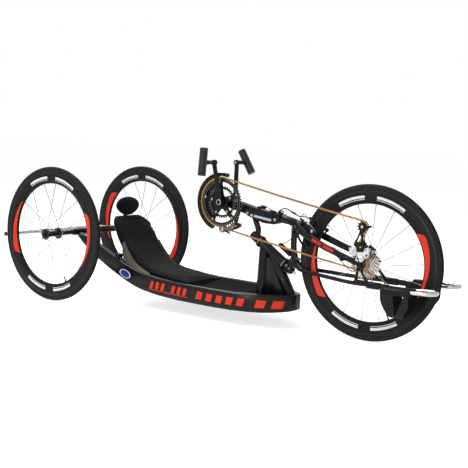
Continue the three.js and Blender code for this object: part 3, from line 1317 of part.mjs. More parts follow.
// Chain guard: a channel round the back half of the big ring, on a plate behind the rings
const GUARD_ARC = [75, 250].map(THREE.MathUtils.degToRad);
const GUARD_PLATE_ARC = [100, 235].map(THREE.MathUtils.degToRad);
function arcBand(inner, outer, from, to, [start, end], parts, plane = 0) {
  const turns = steps(parts, start, end);
  const at = (radius) => (turn) => [radius * Math.cos(turn), radius * Math.sin(turn)];
  const outline = [...turns.map(at(outer)), ...turns.map(at(inner)).reverse()];
  return sidePrism(outline, from, to, ahead(CRANK_CENTRE, 0, plane, 0));
}
const guardInner = -shellHalf - FIT * 2;
const guardBack = smallPlane + RING_THICKNESS / 2 + FIT;
const guardFront = RING_PLANE - CHAIN_WIDTH / 2 - FIT * 10;
piece(
  "chain_guard",
  cut(
    join(
      arcBand(GUARD_INNER_RADIUS, GUARD_OUTER_RADIUS, guardFront, guardInner, GUARD_ARC, 16),
      arcBand(SPINDLE_RADIUS * 1.5, GUARD_INNER_RADIUS + OVERRUN, guardBack, guardInner,
        GUARD_PLATE_ARC, 8),
      ring(SPINDLE_RADIUS + FIT * 4, SHELL_RADIUS, guardBack, guardInner, CRANK_FACETS,
        CRANK_CENTRE),
    ),
    disc(SPINDLE_RADIUS + FIT * 2, -SHELL_LENGTH, SHELL_LENGTH, CRANK_FACETS, CRANK_CENTRE),
  ),
  SATIN_BLACK,
);

// Rim brake: two arms on the blades' studs
const padRadius = RIM_OUTER - RIM_DEPTH * 0.12;
const padFace = RIM_WIDTH / 2 + BRAKE_PAD_GAP;
for (const [name, side] of SIDES) {
  const pivot = brakePivot(side);
  const top = pivot.clone().addScaledVector(brakeAlong, BRAKE_ARM_LENGTH)
    .add(v3(0, -side * studSpan * 0.32, 0));
  const station = (at, width, thick) => ({
    at, across: brakeAxis, up: Y_AXIS, outline: roundedBox(width, thick, thick / 4),
  });
  const arm = loft([
    station(pivot, BRAKE_ARM_THICKNESS, BRAKE_ARM_WIDTH),
    station(pivot.clone().lerp(top, 0.5), BRAKE_ARM_THICKNESS, BRAKE_ARM_WIDTH * 0.7),
    station(top, BRAKE_ARM_THICKNESS, BRAKE_ARM_WIDTH * 0.6),
  ]);
  const fromAxle = pivot.clone().sub(FRONT_AXLE).setY(0);
  const b = fromAxle.dot(brakeAlong);
  const along = -b + Math.sqrt(b * b - fromAxle.lengthSq() + padRadius * padRadius);
  const padPlace = pivot.clone().addScaledVector(brakeAlong, along);
  const armY = studSpan * (1 - (0.32 * along) / BRAKE_ARM_LENGTH);
  const holder = bar(v3(padPlace.x, side * (padFace + OVERRUN), padPlace.z),
    v3(padPlace.x, side * armY, padPlace.z), BRAKE_STUD_RADIUS, 8);
  const padRise = padPlace.clone().sub(FRONT_AXLE).setY(0).normalize();
  const pad = prism(
    roundedBox(BRAKE_PAD_LENGTH, BRAKE_PAD_HEIGHT, BRAKE_PAD_HEIGHT / 4),
    side * padFace, side * (padFace + OVERRUN * 1.6), v3(padPlace.x, 0, padPlace.z),
    v3(padRise.z, 0, -padRise.x), padRise, Y_AXIS,
  );
  const boss = disc(BRAKE_ARM_WIDTH * 0.6, -BRAKE_ARM_THICKNESS / 2, BRAKE_ARM_THICKNESS / 2, 12,
    pivot, brakeAxis);
  const hole = disc(BRAKE_STUD_RADIUS + FIT, -BLADE_HEIGHT, BLADE_HEIGHT, 12, pivot, brakeAxis);
  piece("brake_arm_" + name, cut(join(arm, boss, holder, pad), hole), SATIN_BLACK);
}

// Parking brake: two curved plates on one bolt under the top tube
for (const [name, side] of SIDES) {
  const depth = side < 0 ? [FIT, CALIPER_PLATE] : [CALIPER_PLATE + FIT, CALIPER_PLATE * 2];
  const w = BRAKE_ARM_WIDTH / 2;
  const h = CALIPER_HALF_WIDTH;
  const outline = [
    [side * -w, -w], [side * w, -w * 1.1], [side * (h + w * 0.4), w * 1.6],
    [side * (h + w), CALIPER_REACH * 0.55], [side * (h + w * 0.6), CALIPER_REACH + w],
    [side * (h - w * 0.5), CALIPER_REACH + w], [side * (h - w * 0.3), CALIPER_REACH * 0.55],
    [side * (h - w), w * 2.6], [side * -w * 0.9, w],
  ];
  const plate = prism(outline, ...depth, caliperPivot, Y_AXIS, caliperDown, caliperForward);
  const place = caliperPivot.clone().addScaledVector(caliperDown, CALIPER_REACH);
  const shoe = prism(
    roundedBox(BRAKE_PAD_LENGTH * 0.7, BRAKE_PAD_HEIGHT, BRAKE_PAD_HEIGHT / 4),
    side * padFace, side * h,
    place.clone().addScaledVector(caliperForward, CALIPER_PAD_REACH),
    caliperDown, caliperForward, Y_AXIS,
  );
  const shoeArm = prism(
    roundedBox(w, CALIPER_PAD_REACH, 1), side * (padFace + BRAKE_STUD_RADIUS), side * h,
    place.clone().addScaledVector(caliperForward, (depth[0] + CALIPER_PAD_REACH) / 2),
    caliperDown, caliperForward, Y_AXIS,
  );
  const hole = disc(BRAKE_STUD_RADIUS + FIT, -OVERRUN * 2, OVERRUN * 6, 12, caliperPivot,
    caliperForward);
  piece("parking_arm_" + name, largest(cut(join(plate, shoe, shoeArm), hole)), SILVER);
}

// Brake lever on the clamp
const leverTip = offset(leverPivot, BOOM_DIRECTION, -LEVER_LENGTH, BOOM_NORMAL,
  -LEVER_PIN_RADIUS * 1.5);
const leverStation = (at, width) => ({
  at, across: Y_AXIS, up: BOOM_NORMAL,
  outline: roundedBox(width, LEVER_PIN_RADIUS * 2, LEVER_PIN_RADIUS / 2),
});
piece(
  "brake_lever",
  cut(
    join(
      disc(LEVER_PIN_RADIUS * 2, -LEVER_PIN_RADIUS * 2.5, LEVER_PIN_RADIUS * 2.5, 12, leverPivot),
      loft([leverStation(leverPivot, LEVER_PIN_RADIUS * 5),
        leverStation(leverTip, LEVER_PIN_RADIUS * 4)]),
    ),
    disc(LEVER_PIN_RADIUS + FIT, -LEVER_LENGTH, LEVER_LENGTH, 12, leverPivot),
  ),
  SILVER,
);

// Cables, held along their whole routes. The brake's starts from the crank's centre.
const BRAKE_CABLE_ROUTE = [
  [284, 0, -39], [285.5, 0, -22], [292, 0, -11], [304, 1, -9], [318, 3, -14], [333, 5, -22],
  [352, 7, -28], [372, 7, -33],
];
// Each row: shares of the blades' reach, half span and rise, from the front axle.
const GEAR_CABLE_SHARES = [
  [-1.2042, -0.3284, 1.0938], [-1.1028, -0.3881, 1.0312], [-1.0015, -0.5373, 0.9062],
  [-0.8942, -0.7463, 0.7578], [-0.7452, -0.9851, 0.6094], [-0.5365, -1.1119, 0.4219],
  [-0.3279, -1.1791, 0.2344], [-0.2206, -1.209, 0.0469], [-0.155, -1.2239, -0.1094],
  [-0.0894, -1.2313, -0.2031], [-0.0179, -1.2313, -0.1562], [0.0119, -1.2299, 0.0312],
  [-0.0119, -1.2269, 0.1875], [-0.0358, -1.2269, 0.2812],
];
const gearCableRoute = GEAR_CABLE_SHARES.map(([x, y, z]) =>
  [(WHEELBASE - bladeRoot.x) * x, bladeSpan * y, BLADE_START_RISE * z]);
const routed = (origin, route) => route.map(([x, y, z]) => ahead(origin, x, y, z));
piece(
  "brake_cable",
  largest(cut(tube(routed(CRANK_CENTRE, BRAKE_CABLE_ROUTE), CABLE_RADIUS, 6, 16), clampBody(FIT))),
  SATIN_BLACK,
);
piece(
  "gear_cable",
  largest(cut(tube(routed(FRONT_AXLE, gearCableRoute), CABLE_RADIUS, 6, 32), clampBody(FIT))),
  SATIN_BLACK,
);

// Footrests with their heel slings
for (const [name, side] of SIDES) {
  const innerY = side * FOOT_SPAN;
  const outerY = side * (FOOT_SPAN + FOOT_LOOP_WIDTH);
  const middleY = side * (FOOT_SPAN + FOOT_LOOP_WIDTH / 2);
  const radius = FOOT_LOOP_WIDTH / 2;
  const frontX = WHEELBASE + FOOT_LOOP_FRONT - FOOT_ROD_RADIUS;
  const rod = (x, y) => v3(x, y, footZ);
  const arc = steps(6).map((share) =>
    rod(frontX - radius + radius * Math.sin(Math.PI * share),
      middleY - side * radius * Math.cos(Math.PI * share)));
  const slingX = WHEELBASE + SLING_START;
  const loop = tube(
    [rod(lowerTubeReach - FOOT_INSERTION, innerY), rod(lowerTubeReach, innerY),
      rod(slingX + SLING_LENGTH, innerY), ...arc, rod(slingX + SLING_LENGTH, outerY),
      rod(slingX - FOOT_ROD_RADIUS, outerY)],
    FOOT_ROD_RADIUS, 8, 24,
  );
  piece("footrest_" + name, loop, SILVER);

  const t = SLING_THICKNESS;
  const eye = FOOT_ROD_RADIUS + FIT * 2 + t;
  const HANG_SHARES = [[-1, 0], [-0.98, 0.35], [-0.85, 0.7], [-0.5, 0.94], [0, 1], [0.5, 0.94],
    [0.85, 0.7], [0.98, 0.35], [1, 0]];
  const outer = HANG_SHARES.map(([y, fall]) => [y * radius, -fall * SLING_DEPTH]);
  const inner = HANG_SHARES.map(([y, fall]) => [
    y * (radius - t), -fall * (SLING_DEPTH - t) + (1 - fall) * 0,
  ]).reverse();
  const place = v3(slingX, middleY, footZ);
  const hang = prism([...outer, ...inner], 0, SLING_LENGTH, place, Y_AXIS, Z_AXIS, X_AXIS);
  const eyes = [innerY, outerY].map((y) =>
    disc(eye, 0, SLING_LENGTH, 12, v3(slingX, y, footZ), X_AXIS));
  const bores = [innerY, outerY].map((y) =>
    disc(FOOT_ROD_RADIUS + FIT, -OVERRUN, SLING_LENGTH + OVERRUN, 12, v3(slingX, y, footZ), X_AXIS));
  const taper = sidePrism(
    [[0, eye * 2], [0, -SLING_DEPTH * 0.3], [SLING_LENGTH * 0.28, -SLING_DEPTH - t],
      [SLING_LENGTH * 0.7, -SLING_DEPTH - t], [SLING_LENGTH, -SLING_DEPTH * 0.5],
      [SLING_LENGTH, eye * 2]],
    -FOOT_LOOP_WIDTH, FOOT_LOOP_WIDTH, place,
  );
  piece("heel_sling_" + name, cut(join(hang, ...eyes).intersect(taper), ...bores), FABRIC_BLACK);
}

// The origin lies on the ground, under the middle of the whole machine.
const bounds = new THREE.Box3().setFromObject(group);
group.position.set(-(bounds.min.x + bounds.max.x) / 2, -(bounds.min.y + bounds.max.y) / 2,
  -bounds.min.z);

export default group;
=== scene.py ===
import random
from math import acos, atan2, copysign, cos, exp, hypot, pi, radians, sin, sqrt, tau

import bmesh
import bpy
from mathutils import Matrix, Quaternion, Vector
from mathutils.bvhtree import BVHTree


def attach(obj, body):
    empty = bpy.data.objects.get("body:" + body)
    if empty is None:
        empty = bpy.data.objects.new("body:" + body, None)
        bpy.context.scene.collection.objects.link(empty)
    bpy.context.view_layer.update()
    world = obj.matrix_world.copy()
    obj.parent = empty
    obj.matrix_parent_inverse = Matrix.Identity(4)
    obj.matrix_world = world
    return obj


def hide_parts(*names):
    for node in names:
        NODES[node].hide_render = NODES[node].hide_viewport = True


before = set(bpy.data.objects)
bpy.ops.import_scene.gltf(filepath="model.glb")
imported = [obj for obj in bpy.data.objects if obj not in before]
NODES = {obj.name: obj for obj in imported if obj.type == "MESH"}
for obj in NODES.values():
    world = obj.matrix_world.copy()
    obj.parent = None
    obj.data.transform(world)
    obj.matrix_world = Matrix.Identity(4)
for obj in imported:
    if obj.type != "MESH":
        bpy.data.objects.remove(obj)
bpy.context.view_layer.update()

random.seed(7)
X, Y, Z = (Vector(axis) for axis in ((1, 0, 0), (0, 1, 0), (0, 0, 1)))
ORIGIN = Vector()

# ---------------------------------------------------------------- sizes, in millimetres
MIDDLE_X, LIFT = 716.82, 0.01  # the frame's origin, ahead of the rear axle and below the tyres
AXLE = 307.0145
AXLE_POINT = Vector((1458, 0, AXLE))
REAR_WHEEL_Y = 307.5
HEAD = Vector((1012, 0, 301))
CRANK = Vector((769, 0, 497.5145))
STEER, BOOM, LEAN = radians(33.5), radians(12.3), radians(6.2)
STEER_D = Vector((cos(STEER), 0, -sin(STEER)))
BOOM_D = Vector((cos(BOOM), 0, -sin(BOOM)))
BOOM_N = Vector((sin(BOOM), 0, cos(BOOM)))
ARM_D = Vector((-sin(LEAN), 0, cos(LEAN)))
PEDAL = CRANK + ARM_D * 170
PITCH = 12.7
SPROCKET_Y = -58.5
BIG_TEETH, SMALL_TEETH, PULLEY_TEETH = 52, 34, 11
COG_TEETH = (12, 13, 15, 17, 19, 22, 25, 28, 31)
FOOT_Z, ROD_IN, FOOT_Y, ROD_OUT = 235, 75, 110, 145  # height, inner rod, middle, outer rod
SIDES = (("right", -1), ("left", 1))


def at(x, y, z):
    """A place in the part's frame, from millimetres off the ground below the rear axle's middle."""
    return Vector((x - MIDDLE_X, y, z + LIFT)) / 1000


def link(obj):
    bpy.context.scene.collection.objects.link(obj)
    return obj


def make_camera():
    """A view from ahead of the machine on its right, towards its rear and its left."""
    yaw, pitch, roll = (radians(a) for a in (-35.8136, -6.2302, 2.0448))
    forward = Vector((sin(yaw) * cos(pitch), cos(yaw) * cos(pitch), sin(pitch)))
    right = Vector((cos(yaw), -sin(yaw), 0))
    up = right.cross(forward)
    data = bpy.data.cameras.new("camera")
    data.lens, data.sensor_width = 65.38, 36
    data.clip_start, data.clip_end = 0.05, 200
    cam = link(bpy.data.objects.new("camera", data))
    turn = Matrix((right * cos(roll) + up * sin(roll), up * cos(roll) - right * sin(roll),
                   -forward)).transposed()
    cam.matrix_world = Matrix.Translation(at(2945.8, -2961.7, 759.0)) @ turn.to_4x4()
    bpy.context.scene.camera = cam


make_camera()


# ---------------------------------------------------------------- materials
class Nodes:
    """The node tree of a material or a world, with short calls for the nodes they share."""

    def __init__(self, owner):
        owner.use_nodes = True
        self.owner, self.tree = owner, owner.node_tree
        self.shader = self.tree.nodes.get("Principled BSDF")

    def feed(self, slot, value):
        """Puts a number, a colour or another node's output into a socket."""
        if isinstance(value, (int, float)):
            slot.default_value = value
        elif isinstance(value, tuple):
            slot.default_value = value if len(value) == len(slot.default_value) else (*value, 1)
        elif value is not None:
            self.tree.links.new(value, slot)

    def node(self, kind, inputs=(), **settings):
        made = self.tree.nodes.new("ShaderNode" + kind)
        for key, value in settings.items():
            setattr(made, key, value)
        for key, value in dict(inputs).items():
            self.feed(made.inputs[key], value)
        return made

    def place(self):
        return self.node("TexCoord").outputs["Object"]

    def noise(self, scale, detail, stretch=(1, 1, 1)):
        where = self.node("Mapping", {"Scale": stretch, "Vector": self.place()}).outputs["Vector"]
        return self.node("TexNoise", {"Scale": scale, "Detail": detail,
                                      "Vector": where}).outputs["Fac"]

    def math(self, operation, a, b=None):
        return self.node("Math", {0: a, 1: b}, operation=operation).outputs[0]

    def wave(self, along, pitch):
        return self.math("SINE", self.math("MULTIPLY", along, tau / pitch))

    def blend(self, a, b, share):
        return self.math("ADD", self.math("MULTIPLY", a, share),
                         self.math("MULTIPLY", b, 1 - share))

    def spread(self, factor, low, high):
        """Maps the middle of a noise's range onto low to high."""
        return self.node("MapRange", {"Value": factor, "From Min": 0.3, "From Max": 0.7,
                                      "To Min": low, "To Max": high}).outputs["Result"]

    def tint(self, tone, colour, vary):
        """A colour that drifts between a darker and a lighter shade of itself."""
        dark, light = (tuple(min(1.0, c * share) for c in colour) for share in vary)
        return self.node("Mix", {"Factor": self.spread(tone, 0.0, 1.0), 6: dark, 7: light},
                         data_type="RGBA").outputs[2]

    def bump(self, height, distance):
        return self.node("Bump", {"Distance": distance, "Strength": 1.0,
                                  "Height": height}).outputs["Normal"]

    def seen(self):
        """1 for rays that reach the camera straight, by a gloss or through a clear body."""
        rays = self.node("LightPath").outputs
        return self.math("MAXIMUM", self.math("MAXIMUM", rays["Is Camera Ray"],
                                              rays["Is Glossy Ray"]), rays["Is Transmission Ray"])

    def set(self, **values):
        for key, value in values.items():
            self.feed(self.shader.inputs[key.replace("_", " ")], value)
        return self.owner


def finish(name, colour, rough=(0.3, 0.4), metal=0.0, gloss=0.5, grain=400.0, depth=0.0,
           vary=(0.8, 1.25), brush=(1, 1, 1)):
    """A painted, plated, moulded or brushed surface: colour and gloss vary, grain sets its bump."""
    n = Nodes(bpy.data.materials.new(name))
    broad, fine = n.noise(9, 4), n.noise(grain, 2, brush)
    return n.set(Base_Color=n.tint(broad, colour, vary), Metallic=metal, Specular_IOR_Level=gloss,
                 Roughness=n.spread(n.math("MULTIPLY", n.math("ADD", broad, fine), 0.5), *rough),
                 Normal=n.bump(fine, depth) if depth else None)


CLOTH_VARY = (0.75, 1.3)


def woven(name, colour, pitch, depth, rough=0.9, sheen=0.25, rib=0.0):
    """Cloth: two crossed sets of threads at a pitch in metres, a soft nap and a drifting colour."""
    n = Nodes(bpy.data.materials.new(name))
    x, y, z = n.node("SeparateXYZ", {"Vector": n.place()}).outputs
    warp = n.wave(n.math("ADD", x, n.math("MULTIPLY", z, 0.6)), pitch)
    threads = n.math("MULTIPLY", warp, n.wave(y, rib or pitch))
    total = n.math("ADD", n.math("MULTIPLY", threads, 0.35), n.noise(900, 2))
    broad = n.noise(14, 3)
    return n.set(Base_Color=n.tint(n.blend(total, broad, 0.3), colour, CLOTH_VARY),
                 Roughness=n.spread(broad, rough - 0.06, rough + 0.05),
                 Normal=n.bump(total, depth), Sheen_Weight=sheen, Sheen_Roughness=0.5,
                 Specular_IOR_Level=0.1)


def carbon(name, colour, pitch=0.0032):
    """Twill weave under a satin lacquer."""
    n = Nodes(bpy.data.materials.new(name))
    x, _, z = n.node("SeparateXYZ", {"Vector": n.place()}).outputs
    crossed = n.math("MULTIPLY", n.wave(n.math("ADD", x, z), pitch),
                     n.wave(n.math("SUBTRACT", x, z), 2 * pitch))
    weave = n.math("MULTIPLY", n.math("ADD", crossed, 1.0), 0.5)
    broad = n.noise(11, 3)
    return n.set(Base_Color=n.tint(n.blend(weave, broad, 0.4), colour, CLOTH_VARY),
                 Roughness=n.spread(broad, 0.36, 0.48), Normal=n.bump(weave, 4e-5),
                 Coat_Weight=0.02, Coat_Roughness=0.2, Specular_IOR_Level=0.12)


MAT = {
    "frame_black": finish("frame_paint", (0.005, 0.004, 0.0039), (0.2, 0.28), gloss=0.2,
                          grain=260, depth=3e-5),
    "fork_black": finish("fork_paint", (0.0052, 0.0042, 0.0041), (0.2, 0.28), gloss=0.2,
                         grain=260, depth=3e-5),
    "part_black": finish("satin_black", (0.0065, 0.0055, 0.0056), (0.3, 0.42), gloss=0.13,
                         grain=1400, depth=2e-5),
    "tyre_black": finish("tyre_rubber", (0.008, 0.0068, 0.0065), (0.6, 0.75), gloss=0.12,
                         grain=1600, depth=0.00012),
    "tyre_side": finish("tyre_sidewall", (0.0125, 0.0105, 0.01), (0.5, 0.65), gloss=0.14,
                        grain=2200, depth=0.0001),
    "rim_carbon": carbon("rim_carbon", (0.0066, 0.0054, 0.0054)),
    "brake_track": finish("brake_track", (0.004, 0.004, 0.0045), (0.3, 0.42), grain=700,
                          depth=2e-5, gloss=0.22),
    "hub_black": finish("anodised_black", (0.0062, 0.0053, 0.0054), (0.22, 0.34), gloss=0.16,
                        grain=1800, depth=1e-5),
    "cushion_fabric": woven("seat_cloth", (0.0088, 0.0072, 0.0078), 0.0016, 0.00022,
                            sheen=0.035),
    "headrest_cloth": woven("headrest_cloth", (0.005, 0.005, 0.0055), 0.0013, 0.0002,
                            sheen=0.03),
    "sling_webbing": woven("webbing", (0.021, 0.02, 0.0215), 0.0022, 0.0003, rough=0.82,
                           rib=0.0042, sheen=0.05),
    "sling_lining": woven("sling_lining", (0.004, 0.004, 0.005), 0.0014, 0.00015, rough=0.9,
                          sheen=0.01),
    "thread": finish("sewing_thread", (0.03, 0.03, 0.033), (0.6, 0.75), gloss=0.2, grain=3000,
                     depth=4e-5),
    "shell_grey": finish("moulded_shell", (0.07, 0.063, 0.045), (0.5, 0.62), grain=900,
                         depth=0.0001, gloss=0.3, vary=(0.72, 1.2)),
    "pan_black": finish("moulded_pan", (0.0105, 0.008, 0.0085), (0.7, 0.85), grain=800,
                        depth=9e-5, gloss=0.02),
    "silver": finish("polished_aluminium", (0.5, 0.49, 0.485), (0.2, 0.3), metal=1.0,
                     grain=900, depth=1e-5, brush=(1, 1, 6), vary=(0.85, 1.08)),
    "cast": finish("cast_aluminium", (0.46, 0.455, 0.45), (0.3, 0.44), metal=1.0, grain=700,
                   depth=6e-5, vary=(0.72, 1.12)),
    "steel": finish("plated_steel", (0.36, 0.335, 0.30), (0.26, 0.38), metal=1.0, grain=1500,
                    depth=2e-5, brush=(1, 5, 1), vary=(0.7, 1.2)),
    "spoke": finish("spoke_steel", (0.17, 0.16, 0.16), (0.3, 0.42), metal=0.9, grain=900,
                    depth=1e-5),
    "chain_gold": finish("gold_plating", (0.36, 0.205, 0.062), (0.28, 0.42), metal=0.9,
                         grain=1200, depth=2e-5, vary=(0.6, 1.3)),
    "chain_dark": finish("link_pins", (0.075, 0.045, 0.018), (0.4, 0.55), metal=0.8, grain=900,
                         depth=2e-5),
    "grip_rubber": finish("grip_rubber", (0.006, 0.0052, 0.0057), (0.3, 0.4), gloss=0.34,
                          grain=1500, depth=0.00016),
    "cable_black": finish("cable_housing", (0.006, 0.006, 0.0065), (0.36, 0.48), grain=2400,
                          depth=3e-5, gloss=0.3),
    "red": finish("red_film", (0.84, 0.036, 0.008), (0.4, 0.5), grain=500, depth=1e-5,
                  vary=(0.92, 1.06), gloss=0.25),
    "white": finish("white_film", (0.9, 0.9, 0.89), (0.4, 0.5), grain=500, depth=1e-5,
                    vary=(0.94, 1.03), gloss=0.25),
    "blue": finish("blue_enamel", (0.012, 0.05, 0.30), (0.25, 0.35), grain=500, depth=1e-5,
                   vary=(0.9, 1.1), gloss=0.4),
    "pale": finish("pale_film", (0.50, 0.58, 0.64), (0.35, 0.45), grain=500, depth=1e-5,
                   vary=(0.9, 1.06), gloss=0.3),
    "cog_steel": finish("sprocket_plating", (0.60, 0.54, 0.50), (0.22, 0.34), metal=1.0,
                        grain=1500, depth=2e-5, brush=(1, 5, 1), vary=(0.72, 1.15)),
    "changer_steel": finish("changer_cage", (0.15, 0.12, 0.10), (0.22, 0.34), metal=1.0,
                            grain=1500, depth=2e-5, vary=(0.6, 1.3)),
    "bolt": finish("bolt_steel", (0.42, 0.41, 0.39), (0.24, 0.36), metal=1.0, grain=900,
                   depth=2e-5, vary=(0.8, 1.1)),
    "cap_black": finish("plastic_cap", (0.008, 0.008, 0.009), (0.36, 0.48), grain=900,
                        depth=4e-5, gloss=0.3),
}


# ---------------------------------------------------------------- mesh helpers
def clamp(value):
    return min(1.0, max(0.0, value))


def ease(share):
    return share * share * (3 - 2 * share)


def turns(count, start=0.0):
    """Angles spread evenly round a circle."""
    return [tau * i / count + start for i in range(count)]


def polar(radius, angle):
    return radius * cos(angle), radius * sin(angle)


def spin(radius, angle, y=0.0):
    """A point on a circle about the Y axis."""
    return Vector((radius * cos(angle), y, radius * sin(angle)))


def soften(data, angle):
    """Smooth shading, with edges kept sharp above an angle in degrees."""
    data.polygons.foreach_set("use_smooth", [True] * len(data.polygons))
    data.set_sharp_from_angle(angle=radians(angle))


def settle(obj, body, slot, *nodes):
    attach(obj, body)
    if nodes:
        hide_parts(*nodes)
    return obj


class Parts:
    """Collects solids given in millimetres into one mesh."""

    def __init__(self):
        self.verts, self.faces, self.looks = [], [], []

    def add(self, verts, faces, looks):
        start = len(self.verts)
        self.verts += [tuple(v) for v in verts]
        self.faces += [tuple(i + start for i in f) for f in faces]
        self.looks += looks

    def fit(self, name, looks, body, slot, *nodes, place=lambda v: at(*v), smooth=32, welded=True):
        """Makes the mesh, soft below an angle, gives it its body and hides the nodes it replaces;
        the slot is not used.
        """
        data = bpy.data.meshes.new(name)
        data.from_pydata([tuple(place(v)) for v in self.verts], [], self.faces)
        for look in [looks] if isinstance(looks, str) else looks:
            data.materials.append(MAT[look])
        data.polygons.foreach_set("material_index", self.looks)
        if welded:
            b = bmesh.new()
            b.from_mesh(data)
            bmesh.ops.remove_doubles(b, verts=b.verts, dist=1e-6)
            bmesh.ops.recalc_face_normals(b, faces=b.faces)
            b.to_mesh(data)
            b.free()
        soften(data, smooth)
        return settle(link(bpy.data.objects.new(name, data)), body, slot, *nodes)


def basis(axis):
    axis = Vector(axis).normalized()
    across = axis.cross(Z if abs(axis.z) < 0.9 else X).normalized()
    return across, axis.cross(across).normalized(), axis


def loft(parts, rings, look=0, closed=False, looks=None):
    """A skin over rings of points, its ends filled. A ring of one point closes an end."""
    steps = max(len(ring) for ring in rings)
    spots, verts, faces, tones = [], [], [], []
    for ring in rings:
        spots.append([len(verts) + i % len(ring) for i in range(steps)])
        verts += ring
    for k, ring in enumerate(spots if closed else spots[:-1]):
        after = spots[(k + 1) % len(spots)]
        for i in range(steps):
            j = (i + 1) % steps
            face = tuple(dict.fromkeys((ring[i], ring[j], after[j], after[i])))
            if len(face) > 2:
                faces.append(face)
                tones.append(looks[k] if looks else look)
    for spot in () if closed else (spots[0][::-1], spots[-1]):
        if spot[0] != spot[1]:
            faces.append(tuple(spot))
            tones.append(look)
    parts.add(verts, faces, tones)


def turned(parts, profile, place, axis, steps=24, look=0, closed=False, looks=None):
    """Revolves [along, radius] points about an axis. A radius of 0 closes an end."""
    a, b, c = basis(axis)
    loft(parts, [[Vector(place) + c * along + (a * cos(t) + b * sin(t)) * radius
                  for t in (turns(steps) if radius else (0,))] for along, radius in profile],
         look, closed, looks)


def rod(parts, start, end, radius, steps=12, look=0, chamfer=0.0):
    along = Vector(end) - Vector(start)
    length = along.length
    c = min(chamfer, radius * 0.6, length / 3)
    profile = [(0, 0), (0, radius - c), (c, radius), (length - c, radius), (length, radius - c),
               (length, 0)]
    turned(parts, profile if c else profile[:2] + profile[4:], start, along, steps, look)


BOLT = [(0, 0), (0, 1.25), (0.12, 1.25), (0.12, 1), (0.75, 0.92), (1, 0.72), (1, 0.46),
        (0.35, 0.44), (0.35, 0)]


def bolt(parts, place, axis, radius, height=3.0, look=0):
    """A button-head bolt with its hexagon socket."""
    turned(parts, [(height * h, radius * r) for h, r in BOLT], place, axis, 12, look)


def slab(parts, outline, place, across, up, low, high, look=0, bevel=0.6):
    """A flat solid with chamfered edges: an outline in the plane of across and up, low to high."""
    across, up, place = Vector(across).normalized(), Vector(up).normalized(), Vector(place)
    out = across.cross(up)
    points = [Vector(p) for p in outline]
    n = len(points)
    if sum(points[i - 1].x * points[i].y - points[i].x * points[i - 1].y for i in range(n)) < 0:
        points.reverse()
    inset = []
    for i, p in enumerate(points):
        a, b = (p - points[i - 1]).normalized(), (points[(i + 1) % n] - p).normalized()
        a, b = Vector((-a.y, a.x)), Vector((-b.y, b.x))
        inset.append(p + (a + b) * (bevel / max(0.5, 1 + a.dot(b))))
    loft(parts, [[place + across * v.x + up * v.y + out * level for v in ring]
                 for ring, level in ((inset, low), (points, low + bevel), (points, high - bevel),
                                     (inset, high))], look)


def rounded(points, radius, steps=3):
    """An outline whose corners are rounded to a radius, or to what their sides allow."""
    out, n = [], len(points)
    for i in range(n):
        a, b, c = (Vector(points[(i + k) % n]) for k in (-1, 0, 1))
        cut = min(radius, (a - b).length * 0.45, (c - b).length * 0.45)
        p, q = b + (a - b).normalized() * cut, b + (c - b).normalized() * cut
        for k in range(steps + 1):
            t = k / steps
            out.append(tuple(p * (1 - t) ** 2 + b * (2 * t * (1 - t)) + q * t * t))
    return out


def cheek(parts, corners, radius, low, high, look=0, bevel=0.6, y=0):
    """An upright slab with rounded corners, from low to high towards the right."""
    slab(parts, rounded(corners, radius) if radius else corners, Y * y, X, Z, low, high, look,
         bevel)


def box(parts, centre, across, up, width, height, depth, look=0, radius=1.5, bevel=0.6):
    w, h = width / 2, height / 2
    slab(parts, rounded([(-w, -h), (w, -h), (w, h), (-w, h)], radius), centre, across, up,
         -depth / 2, depth / 2, look, bevel)


def sweep(parts, path, radius, steps=10, look=0):
    """A round section carried along a path without twisting."""
    path = [Vector(p) for p in path]
    side = basis(path[1] - path[0])[0]
    rings = []
    for i, p in enumerate(path):
        along = (path[min(i + 1, len(path) - 1)] - path[max(i - 1, 0)]).normalized()
        side = (side - along * side.dot(along)).normalized()
        up = along.cross(side)
        r = radius[i] if isinstance(radius, list) else radius
        rings.append([p + side * (cos(t) * r) + up * (sin(t) * r) for t in turns(steps)])
    loft(parts, rings, look)


def smooth_path(points, parts=8):
    """A curve through points, by Catmull and Rom's rule."""
    points = [Vector(p) for p in points]
    full = [points[0] * 2 - points[1], *points, points[-1] * 2 - points[-2]]
    out = []
    for i in range(1, len(full) - 2):
        a, b, c, d = full[i - 1:i + 3]
        for t in (k / parts for k in range(parts)):
            out.append(0.5 * ((2 * b) + (c - a) * t + (2 * a - 5 * b + 4 * c - d) * t * t
                              + (3 * b - a - 3 * c + d) * t ** 3))
    return out + [points[-1]]


def distances(points):
    """The distance along a line at each of its points."""
    out = [0.0]
    for a, b in zip(points, points[1:]):
        out.append(out[-1] + (b - a).length)
    return out


def skin(parts, outer, inner, looks=(0, 0), keep=None):
    """A closed sheet between two grids of points. Keep says which of its cells stay."""
    rows, columns = len(outer), len(outer[0])
    n = rows * columns
    quads = [(i * columns + k, (i + 1) * columns + k, (i + 1) * columns + k + 1,
              i * columns + k + 1)
             for i in range(rows - 1) for k in range(columns - 1) if keep is None or keep(i, k)]
    used = {edge for q in quads for edge in zip(q, q[1:] + q[:1])}
    faces = quads + [tuple(v + n for v in reversed(q)) for q in quads]
    faces += [(b, a, a + n, b + n) for a, b in used if (b, a) not in used]
    verts = [v for grid in (outer, inner) for row in grid for v in row]
    order = sorted({v for f in faces for v in f})
    place = {v: i for i, v in enumerate(order)}
    parts.add([verts[v] for v in order], [tuple(place[v] for v in f) for f in faces],
              [looks[0]] * len(quads) + [looks[1]] * (len(faces) - len(quads)))
    return quads


